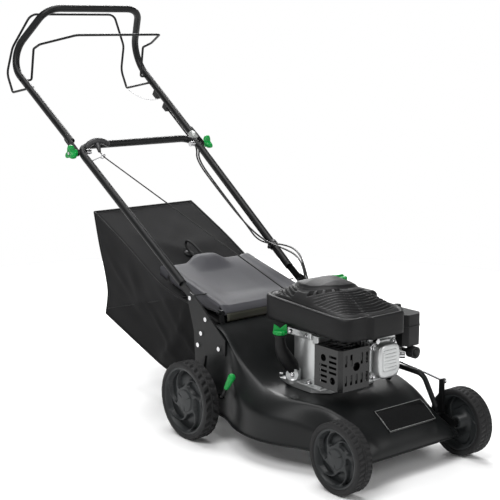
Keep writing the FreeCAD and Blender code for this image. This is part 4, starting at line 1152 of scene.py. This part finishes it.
fluted("fuel_cap_body", (0.136, -0.35), (
    (0.385, 0.0, 0.0), (0.385, 0.0225, 0.0), (0.3862, 0.0238, 0.0007), (0.395, 0.0238, 0.0009),
    (0.3978, 0.0222, 0.0005), (0.3985, 0.017, 0.0), (0.3975, 0.015, 0.0), (0.3978, 0.0, 0.0)),
    20, 160, "green_plastic", "fuel_cap", "fuel_cap")
block("fuel_cap_grip", (0.118, -0.353, 0.397), (0.154, -0.347, 0.402), "green_plastic", "fuel_cap", 0.0012)

# Air filter housing: clip ribs, cover line and screw knob.
for i in range(3):
    y = -0.605 + 0.03 * i
    tube("filter_rib_%d" % i, [(0.157, y, 0.284), (0.1575, y, 0.3), (0.157, y, 0.318)], 0.0018, *MOULDED,
         sides=8)
line_points = [(0.1085, -0.6405, 0.322), (0.1435, -0.6405, 0.322), (0.1565, -0.6275, 0.322),
               (0.1565, -0.526, 0.322), (0.144, -0.5135, 0.322), (0.108, -0.5135, 0.322),
               (0.0955, -0.526, 0.322), (0.0955, -0.6275, 0.322)]
tube("filter_cover_line", [Vector(p) for p in line_points], 0.0016, *MOULDED, closed=True, sides=8)
SCREW_RADIUS = 0.0108
screw_rings = []
for z, share in ((0.3522, 0.0), (0.3522, 1.05), (0.355, 1.05), (0.3565, 0.9), (0.364, 0.86),
                 (0.3668, 0.72), (0.3675, 0.0)):
    screw_rings.append((z, SCREW_RADIUS * share, 0.06 * SCREW_RADIUS * share))
fluted("filter_screw_head", (0.126, -0.58), screw_rings, 8, 64, "black_plastic", "filter_knob",
       "filter_knob")
turned("primer_dome", (0.124, -0.6405, 0.256), (0, -1, 0),
       [(0, 0), (0, 0.0098), (0.01, 0.0096), (0.0145, 0.0078), (0.0162, 0.004), (0.0165, 0.0)],
       "primer_rubber", "primer_button", ("primer_button",))

# Blank panel on the deck's nose, with its thin rim. The nose's outline: y, z.
PANEL_LEFT = -0.046
PANEL_WIDTH = 0.16
PANEL_REAR = -0.677
PANEL_LENGTH = 0.056
NOSE = [(-0.7545, 0.075), (-0.746, 0.092), (-0.728, 0.112), (-0.695, 0.136), (-0.655, 0.157),
        (-0.61, 0.165)]
rows = []
for y in even(PANEL_REAR, -PANEL_LENGTH, 12):
    rows.append([(x, y, table(NOSE, y) + 0.0016) for x in even(PANEL_LEFT, PANEL_WIDTH, 40)])
skin("blank_panel", rows, "panel_film", "root", thick=0.0009)
rim_line = []
for x, y in ((-0.044, -0.679), (0.03, -0.679), (0.112, -0.679), (0.112, -0.704), (0.112, -0.731),
             (0.03, -0.731), (-0.044, -0.731), (-0.044, -0.704)):
    rim_line.append(Vector((x, y, table(NOSE, y) + 0.0022)))
tube("blank_panel_rim", rim_line, 0.0005, "plate_metal", "root", closed=True, sides=6)
